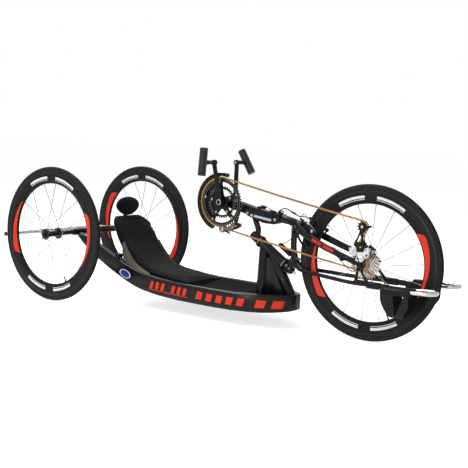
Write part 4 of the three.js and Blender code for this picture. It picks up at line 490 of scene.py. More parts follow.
def thicken(grid, half):
    """Two grids, each off the given one by a half thickness that depends on row and column."""
    last, end = len(grid) - 1, len(grid[0]) - 1
    outer, inner = [], []
    for i, row in enumerate(grid):
        out = []
        for k in range(end + 1):
            a = grid[min(last, i + 1)][k] - grid[max(0, i - 1)][k]
            b = row[min(end, k + 1)] - row[max(0, k - 1)]
            out.append(a.cross(b).normalized() * half(i, k))
        outer.append([p + v for p, v in zip(row, out)])
        inner.append([p - v for p, v in zip(row, out)])
    return outer, inner


def plate(name, loops, thickness, bevel, place, look, across=X, up=Z):
    """A flat plate with holes: outlines in millimetres, filled, thickened and chamfered."""
    curve = bpy.data.curves.new(name, "CURVE")
    curve.dimensions, curve.fill_mode = "2D", "BOTH"
    curve.extrude = max(0.0, thickness / 2 - bevel) / 1000
    curve.bevel_depth, curve.bevel_resolution = bevel / 1000, 0
    curve.offset = -bevel / 1000
    for loop in loops:
        spline = curve.splines.new("POLY")
        spline.points.add(len(loop) - 1)
        for point, (x, y) in zip(spline.points, loop):
            point.co = (x / 1000, y / 1000, 0, 1)
        spline.use_cyclic_u = True
    holder = link(bpy.data.objects.new(name + "_outline", curve))
    bpy.context.view_layer.update()
    data = bpy.data.meshes.new_from_object(
        holder.evaluated_get(bpy.context.evaluated_depsgraph_get()))
    bpy.data.objects.remove(holder)
    turn = Matrix((across, up, across.cross(up))).transposed().to_4x4()
    data.transform(Matrix.Translation(at(*place)) @ turn)
    data.materials.clear()
    data.materials.append(MAT[look])
    soften(data, 30)
    return link(bpy.data.objects.new(name, data))


def joined(name, objects):
    """Merges plates into one object."""
    with bpy.context.temp_override(active_object=objects[0], object=objects[0],
                                   selected_objects=objects,
                                   selected_editable_objects=objects):
        bpy.ops.object.join()
    objects[0].name = name
    return objects[0]


def arc(radius, start, end, steps):
    return [polar(radius, start + (end - start) * i / steps) for i in range(steps + 1)]


def circle(radius, steps=32, centre=(0, 0)):
    return [(centre[0] + x, centre[1] + y) for x, y in (polar(radius, t) for t in turns(steps))]


# ---------------------------------------------------------------- carried-over CAD nodes
def dress(obj, look, width, angle=35):
    """Gives a CAD node its finish, soft shading and small rounded edges."""
    obj.data.materials.clear()
    obj.data.materials.append(MAT[look])
    soften(obj.data, angle)
    if width:
        weld = obj.modifiers.new("weld", "WELD")
        weld.merge_threshold = 2e-5
        bevel = obj.modifiers.new("edges", "BEVEL")
        bevel.width, bevel.segments = width / 1000, 2
        bevel.limit_method, bevel.angle_limit = "ANGLE", radians(angle)
        bevel.use_clamp_overlap, bevel.harden_normals = True, True


DRESSED = {  # look: its nodes, each with the width of its rounded edges
    "frame_black": {"side_rail_right": 2.4, "side_rail_left": 2.4, "mast_rear_leg": 3,
                    "mast_front_leg": 0.8, "head_tube": 0.8, "axle_tube": 0.8},
    "fork_black": {"riser_stem": 0.8, "crank_boom": 1.5, "top_tube": 3, "fork_blade_right": 2,
                   "fork_blade_left": 2, "fork_crown": 1, "lower_tube_right": 0.6,
                   "lower_tube_left": 0.6},
    "part_black": {"seat_support": 0.8, "headrest_post": 0.6, "boom_clamp": 1.4,
                   "chain_guard": 0.8, "steering_damper": 0.6, "crank_arm_right": 1.6,
                   "crank_arm_left": 1.6, "brake_arm_right": 0.7, "brake_arm_left": 0.7,
                   "parking_arm_right": 0.6, "parking_arm_left": 0.6},
    "hub_black": {"front_axle": 0.5, "rear_axle_pin_right": 0.6, "rear_axle_pin_left": 0.6,
                  "steerer": 0.8},
    "pan_black": {"front_pan": 1},
    "shell_grey": {"seat_shell": 1},
    "silver": {"rear_bar": 0.5, "brake_lever": 0.8},
    "cast": {"derailleur_body": 0.8},
    "steel": {"front_derailleur": 0.4},
    "cable_black": {"brake_cable": 0, "gear_cable": 0},
}
for look, nodes in DRESSED.items():
    for node, width in nodes.items():
        dress(NODES[node], look, width)


# ---------------------------------------------------------------- wheels
TYRE_PROFILE = [  # [half width, radius], from the bead up to the crown
    (9.6, 286.4), (10.6, 288.6), (11.4, 292.2), (11.5, 295.6), (10.9, 299.0), (9.4, 302.2),
    (7.0, 304.7), (4.6, 306.1), (4.2, 306.0), (3.9, 306.3), (2.2, 306.85), (0.0, 307.0),
]
RIM_PROFILE = [  # [half width, radius], from the bead down to the nose
    (9.4, 286.2), (9.9, 285.4), (10.0, 276.0), (9.8, 275.4), (10.3, 274.8), (10.45, 266.0),
    (10.2, 256.0), (9.4, 247.0), (8.1, 239.5), (6.2, 234.0), (3.6, 231.2), (0.0, 230.5),
]
HUB_END = [(0, 12.5), (1.5, 14), (5, 14.6), (5.6, 13.4)]
HUB_FLANGE = [(4.5, 14.2), (2.4, 18), (1.9, 25.2), (1.3, 26), (-1.3, 26), (-1.9, 25.2),
              (-2.4, 19), (-6, 14.6)]
SPOKES, SPOKE_TILT, FLANGE_HOLES = 18, 0.55, 9
CAMBER = radians(0.5)
RED, FILM_LIFTS = 0, (0.22, -0.1)


def rim_half_width(radius):
    for (y0, r0), (y1, r1) in zip(RIM_PROFILE, RIM_PROFILE[1:]):
        if r1 <= radius <= r0:
            return y1 + (y0 - y1) * (radius - r1) / (r0 - r1)
    return 0.0


def film(parts, face, start, end, low, high, look):
    """A thin film on a rim's face, between angles in degrees: an arc, or in red a crescent."""
    steps, rows = 40, 6
    grids = []
    for lift in FILM_LIFTS:
        grid = []
        for share in (i / steps for i in range(steps + 1)):
            top, slant = high, 0.0
            if look == RED:
                corner = 0.16 * exp(-((share / 0.03) ** 2))
                top = low + 1.2 + (high - low - 1.2) * (1 - share) ** 0.72 * (1 - corner)
                slant = 4.5 * max(0.0, 1 - share / 0.12)
            row = []
            for k in range(rows + 1):
                r = low + (top - low) * k / rows
                angle = (start + (end - start) * share
                         + copysign(slant * (1 - k / rows), start - end))
                row.append(spin(r, radians(angle), face * (rim_half_width(r) + lift)))
            grid.append(row)
        grids.append(grid if (face > 0) == (start > end) else grid[::-1])
    skin(parts, *grids, (look, look))


def make_wheel(name, body, side, centre, flanges, ends, bore, crescents, node):
    """A wheel in its own millimetres, with its axle along Y, that leans by the camber."""
    lean = Matrix.Rotation(CAMBER * side, 3, "X")

    def place(v):
        return at(*(centre + lean @ Vector(v)))

    # Sidewalls and tread, and the deep rim and its brake track, are separate finishes.
    for piece, profile, edge, looks, smooth in (
            ("tyre", TYRE_PROFILE, 6, ["tyre_black", "tyre_side"], 40),
            ("rim", RIM_PROFILE, 3, ["rim_carbon", "brake_track"], 38)):
        p = Parts()
        rows = [(-y, r) for y, r in profile] + [(y, r) for y, r in profile[-2::-1]]
        tones = [1] * edge + [0] * (len(rows) - 1 - 2 * edge) + [1] * (edge + 1)
        turned(p, rows, ORIGIN, Y, 144, 0, True, tones)
        p.fit(name + "_" + piece, looks, body, looks[0], node.format(piece), place=place,
              smooth=smooth)
    # Valve: threaded stem, nut and core.
    v = Parts()
    stem = [(231.5, 0), (231.5, 5.2), (228.5, 5.2), (228.5, 3.0)]
    stem += [(228 - i * 0.8, 2.9 if i % 2 else 3.15) for i in range(24)]
    stem += [(208.5, 2.2), (204, 2.2), (204, 1.6), (201, 1.6), (201, 0)]
    turned(v, stem, ORIGIN, spin(1, radians(-65)), 12)
    v.fit(name + "_wheel_valve", "cap_black", body, "hub_black", place=place)
    # Spokes with nipples at the rim and bent heads at the flange.
    s = Parts()
    for i, t in enumerate(turns(SPOKES, radians(5))):
        where = 1 if i % 2 else -1
        bend = where * 2.6 * (1 if i // 4 % 2 else -1)
        foot = spin(22, t + (SPOKE_TILT if i // 2 % 2 else -SPOKE_TILT), flanges[i % 2] + bend)
        head = spin(229.6, t, where * 1.5)
        reach = (head - foot).normalized()
        sweep(s, [foot - Y * (bend * 1.6), foot, foot + reach * 4, head - reach * 10], 1.2, 6)
        rod(s, head - reach * 11, head, 1.6, 6)
    s.fit(name + "_wheel_spokes", "spoke", body, "steel", place=place)
    # Hub: waisted barrel, drilled flanges, lock rings and bearing caps.
    h = Parts()
    right, left = ([(end, bore)] + [(end - sign * a, r) for a, r in HUB_END]
                   + [(flange + sign * a, r) for a, r in HUB_FLANGE]
                   for sign, flange, end in zip((-1, 1), flanges, ends))
    turned(h, right + [(sum(flanges) / 2, 13.4)] + left[::-1], ORIGIN, Y, 40, 0, True)
    for flange, where in zip(flanges, (-1, 1)):
        for t in turns(FLANGE_HOLES, pi / FLANGE_HOLES):
            turned(h, [(0, 0), (0, 1.7), (0.7, 1.2), (0.7, 0)], spin(22.2, t, flange + where * 1.9),
                   Y * where, 8, 1)
    h.fit(name + "_hub", ["hub_black", "bolt"], body, "hub_black", node.format("hub"), place=place)
    # Red crescents that follow the rim's faces, and plain pale arcs between them.
    d = Parts()
    for face in (-1, 1):
        for wide, tip in crescents:
            film(d, face, wide, tip, 236.5, 264.5, RED)
        for middle in (89, 269):
            for low, high in ((246.5, 248.6), (252.5, 263)):
                for start, end in ((33, 7), (-5, -33)):
                    film(d, face, middle + start, middle + end, low, high, 1)
    d.fit(name + "_wheel_films", ["red", "white"], body, "rim_carbon", place=place, smooth=60,
          welded=False)


for (name, side), crescents in zip(SIDES, (((24, -34), (203, 145)), ((-33, 21), (142, 202)))):
    make_wheel(name, "rear_wheel_" + name, side, Vector((0, side * REAR_WHEEL_Y, AXLE)),
               (-37.5, 37.5), (-48, 48), 6.4, crescents, "rear_{}_" + name)
make_wheel("lead", "front_wheel", 0, AXLE_POINT, (-18, 34), (-24.6, 63.7), 5.3,
           ((30, -29), (217, 166)), "front_{}")


# ---------------------------------------------------------------- chain
def pitch_radius(teeth):
    return PITCH / (2 * sin(pi / teeth))


RING_CENTRE = CRANK + Vector((0, -47, 0))
TENSION = AXLE_POINT + Vector((-3, SPROCKET_Y, 145))
GUIDE = AXLE_POINT + Vector((1.5, SPROCKET_Y, 68))
COG = AXLE_POINT + Y * SPROCKET_Y
CHAIN_WHEELS = [  # middle, radius, and the way it turns the chain
    (RING_CENTRE, pitch_radius(BIG_TEETH), 1), (TENSION, pitch_radius(PULLEY_TEETH), 1),
    (GUIDE, pitch_radius(PULLEY_TEETH), -1), (COG, pitch_radius(COG_TEETH[0]), 1)]
LINK_RADIUS, LINK_WAIST = 4.1, 2.7
PIN_RADIUS, PIN_HALF, ROLLER_RADIUS, ROLLER_HALF = 1.7, 3.35, 3.8, 1.2
SAG, LONG_RUN = 14, 300


def chain_run(a, b):
    """The angles at which the chain leaves one wheel and meets the next."""
    (p, r1, t1), (q, r2, t2) = a, b
    apart = hypot(q.x - p.x, q.z - p.z)
    angle = atan2(q.z - p.z, q.x - p.x) + acos((r1 * t1 - r2 * t2) / apart)
    return (angle if t1 > 0 else angle + pi), (angle if t2 > 0 else angle + pi)


def chain_route():
    runs = [chain_run(w, CHAIN_WHEELS[(i + 1) % 4]) for i, w in enumerate(CHAIN_WHEELS)]
    route = []
    for i, (c, r, turn) in enumerate(CHAIN_WHEELS):
        start, (leave, meet) = runs[i - 1][1], runs[i]
        swept = ((start - leave) * turn) % tau
        count = max(6, int(swept * r / 3))
        route += [c + spin(r, start - swept * k / count * turn) for k in range(count + 1)]
        after, r2, _ = CHAIN_WHEELS[(i + 1) % 4]
        p, q = c + spin(r, leave), after + spin(r2, meet)
        if (q - p).length > LONG_RUN:
            route += [p.lerp(q, t) - Z * (SAG * t * (1 - t))
                      for t in (k / 40 for k in range(1, 40))]
    return route


def make_chain():
    closed = chain_route()
    closed.append(closed[0])
    lengths = distances(closed)
    total = lengths[-1]
    count = round(total / PITCH / 2) * 2
    pins, k = [], 0
    for i in range(count):
        target = total * i / count
        while lengths[k + 1] < target:
            k += 1
        t = (target - lengths[k]) / max(1e-9, lengths[k + 1] - lengths[k])
        pins.append(closed[k].lerp(closed[k + 1], t))
    p = Parts()
    for i, a in enumerate(pins):
        b = pins[(i + 1) % count]
        along = (b - a).normalized()
        side = (Y - along * along.y).normalized()
        up = along.cross(side)
        ends = [[end + along * (LINK_RADIUS * cos(t)) + up * (LINK_RADIUS * sin(t))
                 for t in (base + radians(deg) for deg in (-80, -45, 0, 45, 80))]
                for end, base in ((a, pi), (b, 0.0))]
        middle = (a + b) / 2
        shape = [*ends[0], middle - up * LINK_WAIST, *ends[1], middle + up * LINK_WAIST]
        # Outer and inner plates take turns.
        for where in (-1, 1):
            loft(p, [[v + side * (where * y) for v in shape]
                     for y in ((2.2, 3.1) if i % 2 else (1.25, 2.15))])
        rod(p, a - side * PIN_HALF, a + side * PIN_HALF, PIN_RADIUS, 8, 1)
        rod(p, a - side * ROLLER_HALF, a + side * ROLLER_HALF, ROLLER_RADIUS, 10)
    p.fit("roller_chain", ["chain_gold", "chain_dark"], "fork", "chain_gold", "chain", smooth=40)


make_chain()


# ---------------------------------------------------------------- chainrings, sprockets, pulleys
CRANK_TURN = pi / 2 + LEAN
TOOTH = ((-0.25, -2.6), (-0.1, -3.6), (0.1, -3.6), (0.25, -2.6), (0.38, 1.6), (0.46, 3.3),
         (0.54, 3.3), (0.62, 1.6))
SPIDER_ARM = ((30, 0.5), (52, 0.2), (72, 0.12), (84, 0.12), (90.5, 0.19))


def toothed(teeth, phase=0.0, trim=0.0):
    """A sprocket's outline: rounded valleys and blunt tips."""
    r = pitch_radius(teeth) - trim
    return [polar(r + rise, tau * (i + share) / teeth + phase)
            for i in range(teeth) for share, rise in TOOTH]


def slots(inner, outer, count, share, start=0.0, steps=5):
    """Curved slots between two radii, each over a share of its part of the circle."""
    return [arc(inner, t, t + tau / count * share, steps)
            + arc(outer, t + tau / count * share, t, steps) for t in turns(count, start)]


def make_rings():
    big, small = pitch_radius(BIG_TEETH), pitch_radius(SMALL_TEETH)
    # The spider has five arms whose edges sweep into the ring's seat.
    shape = []
    for t in turns(5, CRANK_TURN):
        shape += [polar(r, t - half) for r, half in SPIDER_ARM]
        shape += [polar(r, t + half) for r, half in SPIDER_ARM[::-1]]
    plates = [plate(name, loops, thickness, bevel, RING_CENTRE + Y * y, "part_black")
              for name, loops, thickness, bevel, y in (
                  ("big_ring", [toothed(BIG_TEETH), circle(big - 17.5, 72)], 2.2, 0.35, 0),
                  ("small_ring", [toothed(SMALL_TEETH), circle(small - 13, 56)], 2.2, 0.35, 8),
                  ("spider", [shape, circle(12.6)], 5.4, 0.9, 4))]
    settle(joined("chainring_set", plates), "cranks", "part_black", "chainrings")
    p = Parts()
    for t in turns(5, CRANK_TURN):
        for r in (86.5, 50.5):
            bolt(p, CRANK + spin(r, t, -48.6), -Y, 4.2, 2.2)
    # Thin bright steel rings on the big ring's face, round its windows and on the small ring's
    # face: painted highlights.
    for radius, y in ((big - 7.5, -48.05), (big - 17.2, -48.05), (small - 6, -40.05)):
        turned(p, [(y, radius - 0.5), (y - 0.35, radius - 0.4), (y - 0.35, radius + 0.4),
                   (y, radius + 0.5)], CRANK, Y, 72, 1, True)
    # Bright steel edges on the teeth of both rings: partly worn, machined metal and partly a
    # painted highlight.
    for teeth, y in ((BIG_TEETH, -47.0), (SMALL_TEETH, -39.0)):
        for t in turns(teeth, pi / teeth):
            c = CRANK + spin(pitch_radius(teeth) + 1.7, t, y)
            out, side = spin(1, t), spin(1, t + pi / 2)
            loft(p, [[c + side * u + out * v + Y * w
                      for u, v in ((-1.9, -1.4), (1.9, -1.4), (0.7, 1.75), (-0.7, 1.75))]
                     for w in (-1.16, 1.16)], 1)
    p.fit("ring_bolts_and_painted_highlights", ["bolt", "steel"], "cranks", "steel")


make_rings()


def make_cassette():
    small, large = pitch_radius(COG_TEETH[0]), pitch_radius(COG_TEETH[-1])
    cogs = []
    for i, teeth in enumerate(COG_TEETH):
        seat = small + (large - small) * (i / 8) ** 1.15
        holes = [circle(17.5 if i else 12)]
        if i >= 4:
            holes += slots(seat - 13.5, seat - 7.0, 6 + i // 2, 0.55, i * 0.2)
        if i >= 6:
            holes += slots(seat - 25, seat - 17, 7, 0.6, i * 0.1)
        cogs.append(plate("cog", [toothed(teeth, i * 0.11, pitch_radius(teeth) - seat), *holes],
                          1.9, 0.3, COG + Y * (i * 3.95), "cog_steel"))
    settle(joined("cog_stack", cogs), "sprockets", "steel", "cassette")
    p = Parts()
    turned(p, [(-4.6, 5.6), (-4.6, 12.2), (-3.2, 15.6), (-1.2, 15.6), (-1.2, 17.6), (31.5, 17.6),
               (33.3, 16.5), (33.3, 5.6)], COG, Y, 32, 0, True)
    for t in turns(16):
        c = COG + spin(13.6, t, -4.2)
        rod(p, c, c - Y * 1.1, 0.9, 6)
    p.fit("cog_core", "cast", "sprockets", "steel")


make_cassette()

for name, centre, body, node in (
        ("upper_pulley_wheel", TENSION, "upper_pulley", "tension_pulley"),
        ("lower_pulley_wheel", GUIDE, "lower_pulley", "guide_pulley")):
    holes = [circle(4.3, 20), *slots(9.5, 14.2, 5, 0.6, 0, 4)]
    settle(plate(name, [toothed(PULLEY_TEETH), *holes], 2.6, 0.5, centre, "cap_black"), body,
           "part_black", node)
    bush = Parts()
    turned(bush, [(-2.0, 4.3), (-2.0, 7.4), (2.0, 7.4), (2.0, 4.3)], centre, Y, 20, 0, True)
    bush.fit(name + "_bush", "bolt", body, "part_black")


# ---------------------------------------------------------------- seat
def apply_modifiers(obj):
    deps = bpy.context.evaluated_depsgraph_get()
    data = bpy.data.meshes.new_from_object(obj.evaluated_get(deps))
    obj.modifiers.clear()
    obj.data = data


CLOTH_FRAMES = 14


def soft_copy(node, name, shrink, voxel, pressure, cap, look, shape):
    """A CAD node's closed form, remeshed, shaped and, as foam under cloth, blown up a little."""
    source = NODES[node]
    obj = source.copy()
    obj.data = source.data.copy()
    obj.name = name
    obj.parent = None
    obj.matrix_world = Matrix.Identity(4)
    obj.modifiers.clear()
    link(obj)
    remesh = obj.modifiers.new("remesh", "REMESH")
    remesh.mode, remesh.voxel_size = "VOXEL", voxel
    smooth = obj.modifiers.new("smooth", "SMOOTH")
    smooth.iterations, smooth.factor = 6, 0.6
    apply_modifiers(obj)
    b = bmesh.new()
    b.from_mesh(obj.data)
    b.normal_update()
    for v in b.verts:
        v.co = shape(v.co - v.normal * shrink)
    b.to_mesh(obj.data)
    b.free()
    if pressure:
        rest = [(v.co.copy(), v.normal.copy()) for v in obj.data.vertices]
        cloth = obj.modifiers.new("cloth", "CLOTH")
        cloth.settings.quality = 6
        cloth.settings.use_pressure = True
        cloth.settings.uniform_pressure_force = pressure
        cloth.settings.tension_stiffness = 30
        cloth.settings.bending_stiffness = 6
        cloth.settings.effector_weights.gravity = 0
        cloth.collision_settings.use_collision = False
        scene = bpy.context.scene
        for f in range(1, CLOTH_FRAMES + 1):
            scene.frame_set(f)
        apply_modifiers(obj)
        scene.frame_set(1)
        # The cushion may only swell, so that it never falls behind the rim of the shell.
        for v, (start, out) in zip(obj.data.vertices, rest):
            v.co = start + out * min(cap, max(0.0, (v.co - start).dot(out)))
    obj.data.materials.clear()
    obj.data.materials.append(MAT[look])
    sub = obj.modifiers.new("soft", "SUBSURF")
    sub.levels = sub.render_levels = 1
    obj.data.polygons.foreach_set("use_smooth", [True] * len(obj.data.polygons))
    apply_modifiers(obj)
    return obj


def seat_shape(v):
    """Widens the backrest, rounds its upper corners and brings its flanks forward, in metres."""
    z = v.z * 1000
    up = ease(clamp((z - 160) / 90))
    side = min(1.0, abs(v.y) / 0.116)
    forward = 0.013 * side ** 3 * up
    slope = radians(80 - 44 * up)
    top = clamp((z - 330) / 62)
    reach = 1 - 0.36 * (1 - sqrt(1 - min(0.999, top) ** 2.2)) if top else 1.0
    # The form already narrows towards its top: it is widened first, then rounded.
    y = v.y * (1 + 0.09 * up) * (1 + 0.16 * top) * reach
    lift = 0.008 * top * (1 - side ** 2 * 0.4)
    return Vector((v.x + cos(slope) * forward - lift * 0.5, y,
                   v.z + sin(slope) * forward + lift * 0.8))


def cushion_shape(v):
    """The seat's shape, with a front end that laps over the shell's."""
    front = clamp((v.x + MIDDLE_X / 1000 - 0.52) / 0.1)
    made = seat_shape(v)
    return Vector((made.x + 0.022 * ease(front), made.y * (1 + 0.06 * front),
                   made.z - 0.002 * front))


def headrest_shape(v):
    """A little wider and taller, with a lower edge that bulges at the middle."""
    middle = 0.440
    z = v.z - middle
    if z < 0:
        z = z * 1.04 - 0.008 * (1 - min(1.0, abs(v.y) / 0.075) ** 2) ** 2 * min(1.0, -z / 0.035)
    else:
        z *= 1.07
    return Vector((v.x, v.y * 1.04, z + middle))


seat = soft_copy("seat_pad", "seat_cushion", 0.0015, 0.006, 3.0, 0.005, "cushion_fabric",
                 cushion_shape)
settle(seat, "frame", "cushion_fabric", "seat_pad")
headrest = soft_copy("headrest_pad", "headrest_cushion", 0.002, 0.004, 4.0, 0.006,
                     "headrest_cloth", headrest_shape)
settle(headrest, "headrest", "cushion_fabric", "headrest_pad")
shell = soft_copy("seat_shell", "seat_bucket", 0.0, 0.0036, 0, 0, "shell_grey", seat_shape)
settle(shell, "frame", "shell_grey", "seat_shell")


def make_flanks():
    """The bucket's flanks, which reach from the cushion's edge down to the rails."""
    upper = smooth_path([(280, 0, 285), (297, 0, 262), (320, 0, 234), (358, 0, 197),
                         (401, 0, 173), (446, 0, 155)], 6)
    lower = smooth_path([(272, 0, 279), (280, 0, 253), (294, 0, 222), (323, 0, 184),
                         (373, 0, 162), (436, 0, 151)], 6)
    for name, side in SIDES:
        drop = Z * (5 * (1 + side))
        grid = []
        for i, (a, b) in enumerate(zip(upper, lower)):
            row = []
            for t in (k / 6 for k in range(7)):
                p = (a - drop).lerp(b - drop * 0.3, t)
                out = (120 + 6 * min(1.0, i / 14)
                       + (4 + 14 * min(1.0, i / 12)) * sin(t * pi / 2))
                row.append(Vector((p.x, side * out, p.z)))
            grid.append(row)
        p = Parts()
        skin(p, *thicken(grid, lambda i, k: 1.5))
        p.fit(name + "_seat_flank", "shell_grey", "frame", "shell_grey", smooth=50)


make_flanks()


# ---------------------------------------------------------------- cranks and grips
ARM_STATIONS = (  # along the arm, out from the middle, width, depth
    (-15, 59, 17, 11), (-8, 59, 26, 12.6), (8, 59.4, 27, 12.6), (26, 60.2, 23.5, 12),
    (60, 64, 22, 11.8), (105, 72, 20.5, 11.8), (150, 80, 19.5, 12), (164, 81.6, 21, 12.6),
    (174, 81.8, 19.5, 12.6), (181, 81.8, 12, 11))
SQUARENESS = 3.2


def make_crank(name, side, node):
    """A crank arm that flares out from its spindle, with the spindle's cap and the grip's pin."""
    p = Parts()
    across, out = ARM_D.cross(Y), Y * side
    rings = []
    for along, y, width, depth in ARM_STATIONS:
        middle = CRANK + ARM_D * along + out * y
        ring = []
        for u, w in (polar(1, t) for t in turns(20)):
            square = (abs(u) ** SQUARENESS + abs(w) ** SQUARENESS) ** (-1 / SQUARENESS) / 2
            ring.append(middle + across * (u * square * width) + Y * (w * square * depth))
        rings.append(ring)
    loft(p, rings)
    # Spindle cap: a ring nut with a dark socket.
    turned(p, [(64.8, 0), (64.8, 12.6), (66.6, 12.6), (67.4, 11.8), (67.4, 9.2), (66.2, 8.8),
               (66.2, 6.4), (65.4, 6.0), (65.4, 0)], CRANK, out, 32,
           looks=[0, 0, 1, 1, 0, 0, 0, 0])
    if side < 0:
        rod(p, CRANK - out * 60, CRANK + out * 59, 11.4, 24)
        turned(p, [(53.4, 11.4), (53.4, 17.6), (54.2, 18.4), (55.6, 18.4), (56.2, 17.6),
                   (56.2, 11.4)], CRANK, out, 32, 0, True)
    turned(p, [(72, 0), (72, 10.2), (73, 11.2), (87, 11.2), (88, 10.2), (88, 4.8), (150, 4.8),
               (150, 0)], PEDAL, out, 28)
    turned(p, [(70.8, 0), (70.8, 5.6), (72.4, 6.4), (72.4, 0)], PEDAL, out, 6, 1)
    p.fit(name, ["part_black", "bolt"], "cranks", "part_black", node)


for name, side in SIDES:
    make_crank(name + "_crank", side, "crank_arm_" + name)


def make_grip(name, side, tilt, body, node):
    along = Vector((sin(tilt), 0, cos(tilt)))
    half, reach, root = 58.5, 160, 88.3
    p = Parts()
    profile = [(-half, 0), (-half, 14.8), (-half + 0.6, 16.4), (-half + 3.2, 17.4)]
    for z in (-half + 5.5 + k * 3.9 for k in range(28)):
        profile += [(z, 17.4), (z + 0.7, 17.0), (z + 1.7, 17.0), (z + 2.4, 17.4)]
    profile += [(half - 3.2, 17.4), (half - 0.6, 16.4), (half, 15.0), (half, 12.4),
                (half - 1.6, 11.6), (half - 1.6, 0)]
    turned(p, profile, PEDAL + Y * (side * reach) + along * 3, along, 36)
    length = reach - root - 14
    turned(p, [(0, 5.3), (0, 9.0), (1.0, 10.0), (6, 10.0), (7, 8.8), (length * 0.55, 8.4),
               (length * 0.6, 9.6), (length * 0.9, 10.0), (length, 9.0), (length, 5.3)],
           PEDAL + Y * (side * root), Y * side, 24, 1, True)
    p.fit(name, ["grip_rubber", "part_black"], body, "grip_rubber", node)


for (name, side), tilt in zip(SIDES, (4.6, -31.5)):
    make_grip(name + "_grip", side, radians(tilt), "hand_grip_" + name, "grip_" + name)


# ---------------------------------------------------------------- foot supports
def make_loop(name, side, body, node):
    """The footrest's bright tube: two rods joined by a round front end that rises a little."""
    path = [(x, ROD_IN) for x in (1456, 1530, 1620, 1700, 1735, 1752)]
    path += [(1752 + 34.5 * sin(t), FOOT_Y - 35 * cos(t))
             for t in (pi * k / 12 for k in range(1, 13))]
    path += [(x, ROD_OUT) for x in (1735, 1700, 1640, 1583)]
    p = Parts()
    sweep(p, [(x, side * y, FOOT_Z + 7 * ease(clamp((x - 1650) / 90))) for x, y in path],
          [6.0 + 1.5 * clamp((x - 1698) / 20) for x, _ in path], 20)
    p.fit(name, "silver", body, "silver", node)


def make_sling(name, side, body, node):
    """A webbing sling hung between the footrest's rods, with sewn hems and a lined inside."""
    middle = Vector((1586, side * FOOT_Y, FOOT_Z))
    half = [(y - 35, z) for y, z in (polar(7.9, radians(d)) for d in range(-65, 216, 20))]
    half += [(-41.2, -12), (-39.4, -34), (-34.5, -66), (-22.5, -90), (-9, -99.6)]
    line = smooth_path([(0, y, z) for y, z in half + [(0, -101.4)]
                        + [(-y, z) for y, z in reversed(half)]], 3)
    wide, last = 112, 28
    lengths = distances(line)
    rows = []
    for p in line:
        start = 31 * clamp((-p.z - 30) / 72) ** 1.3
        end = wide - 34 * clamp((-p.z - 50) / 52) ** 1.3
        rows.append([middle + Vector((start + (end - start) * k / last, p.y, p.z))
                     for k in range(last + 1)])

    def thickness(i, k):
        edge = min(k, last - k)
        return (0.8 if edge == 0 else 1.6 if edge < 4 else 1.1) + 0.12 * cos(tau * lengths[i] / 9)

    def keep(i, k):
        """Each side of the sling opens between its rear and its front strap."""
        depth = -line[i].z
        return not (9 < depth < 86 and 13 <= k < 23 - 9 * (depth - 9) / 77)

    cloth = Parts()
    quads = skin(cloth, *thicken(rows, thickness), (0, 1), keep)
    flat = [p for row in rows for p in row]
    hung = cloth.fit(name, ["sling_webbing", "sling_lining"], body, "sling_webbing", node,
                     smooth=60)
    # Stitches: two rows along each hem, and a box of stitches below each rod.
    t = Parts()
    clear = 48
    seams = [(rows[i][k], rows[i + 1][k], i, 1.8)
             for k in (2, last - 2) for i in range(clear, len(line) - clear)]
    seams += [(rows[i][k], rows[i][k + 1], i, 1.3)
              for i in (clear + 1, clear + 4, len(line) - clear - 2, len(line) - clear - 5)
              for k in range(3, 12)]
    for a, b, i, lift in seams:
        out = (line[i + 1] - line[i]).normalized().cross(-X) * lift
        rod(t, a.lerp(b, 0.15) + out, a.lerp(b, 0.8) + out, 0.45, 5)
    stitches = t.fit(name + "_stitches", "thread", body, "sling_webbing")
    # The rods' black sleeves.
    f = Parts()
    inner_rod = Vector((0, side * ROD_IN, FOOT_Z))
    turned(f, [(1552, 6.3), (1552, 10.4), (1553.5, 11.4), (1582, 11.4), (1584, 10.4),
               (1584, 6.3)], inner_rod, X, 24, 0, True)
    start, end = 1600, 1704 if side < 0 else 1736
    turned(f, [(start, 9.3), (start, 10.4), (start + 1.5, 11), (end - 1.5, 11), (end, 10.4),
               (end, 9.3)], (0, side * ROD_OUT, FOOT_Z), X, 20, 0, True)
    f.fit(name + "_sleeve", "part_black", body, "part_black")
    # The lower tube's collar, its bolt, a flat reinforcing plate and the second rod of each stay.
    p = Parts()
    turned(p, [(1494, 12.1), (1494, 13), (1495.5, 13.8), (1549, 13.8), (1550.5, 13),
               (1550.5, 12.1)], inner_rod, X, 24, 0, True)
    bolt(p, inner_rod + Vector((1510, -side * 3, 13)), Z, 3.0, 2.6, 1)
    cheek(p, [(1432, 238), (1446, 251), (1500, 249.5), (1522, 248.6), (1522, 238)], 4, 0, 10, 0,
          1.2, side * 79 + 5)
    for (x0, z0), (x1, z1) in (((1464, 283), (1497, 246)), ((1449, 284), (1441, 247))):
        rod(p, (x0, side * ROD_IN, z0), (x1, side * ROD_IN, z1), 3.0)
    p.fit(name + "_collar", ["part_black", "bolt"], "fork", "part_black")


for name, side in SIDES:
    make_loop(name + "_foot_loop", side, "foot_support_" + name, "footrest_" + name)
for name, side in SIDES:
    make_sling(name + "_heel_sling", side, "foot_support_" + name, "heel_sling_" + name)


# ---------------------------------------------------------------- derailleurs
def strip(a, b, wide_a, wide_b):
    """A strip's outline from a to b in the XZ plane, with half widths at its round ends."""
    turn = atan2(b[1] - a[1], b[0] - a[0])
    return [(x + wide * cos(t), z + wide * sin(t))
            for (x, z), wide, base in ((a, wide_a, turn + pi), (b, wide_b, turn))
            for t in (base + radians(deg) for deg in range(-90, 91, 30))]


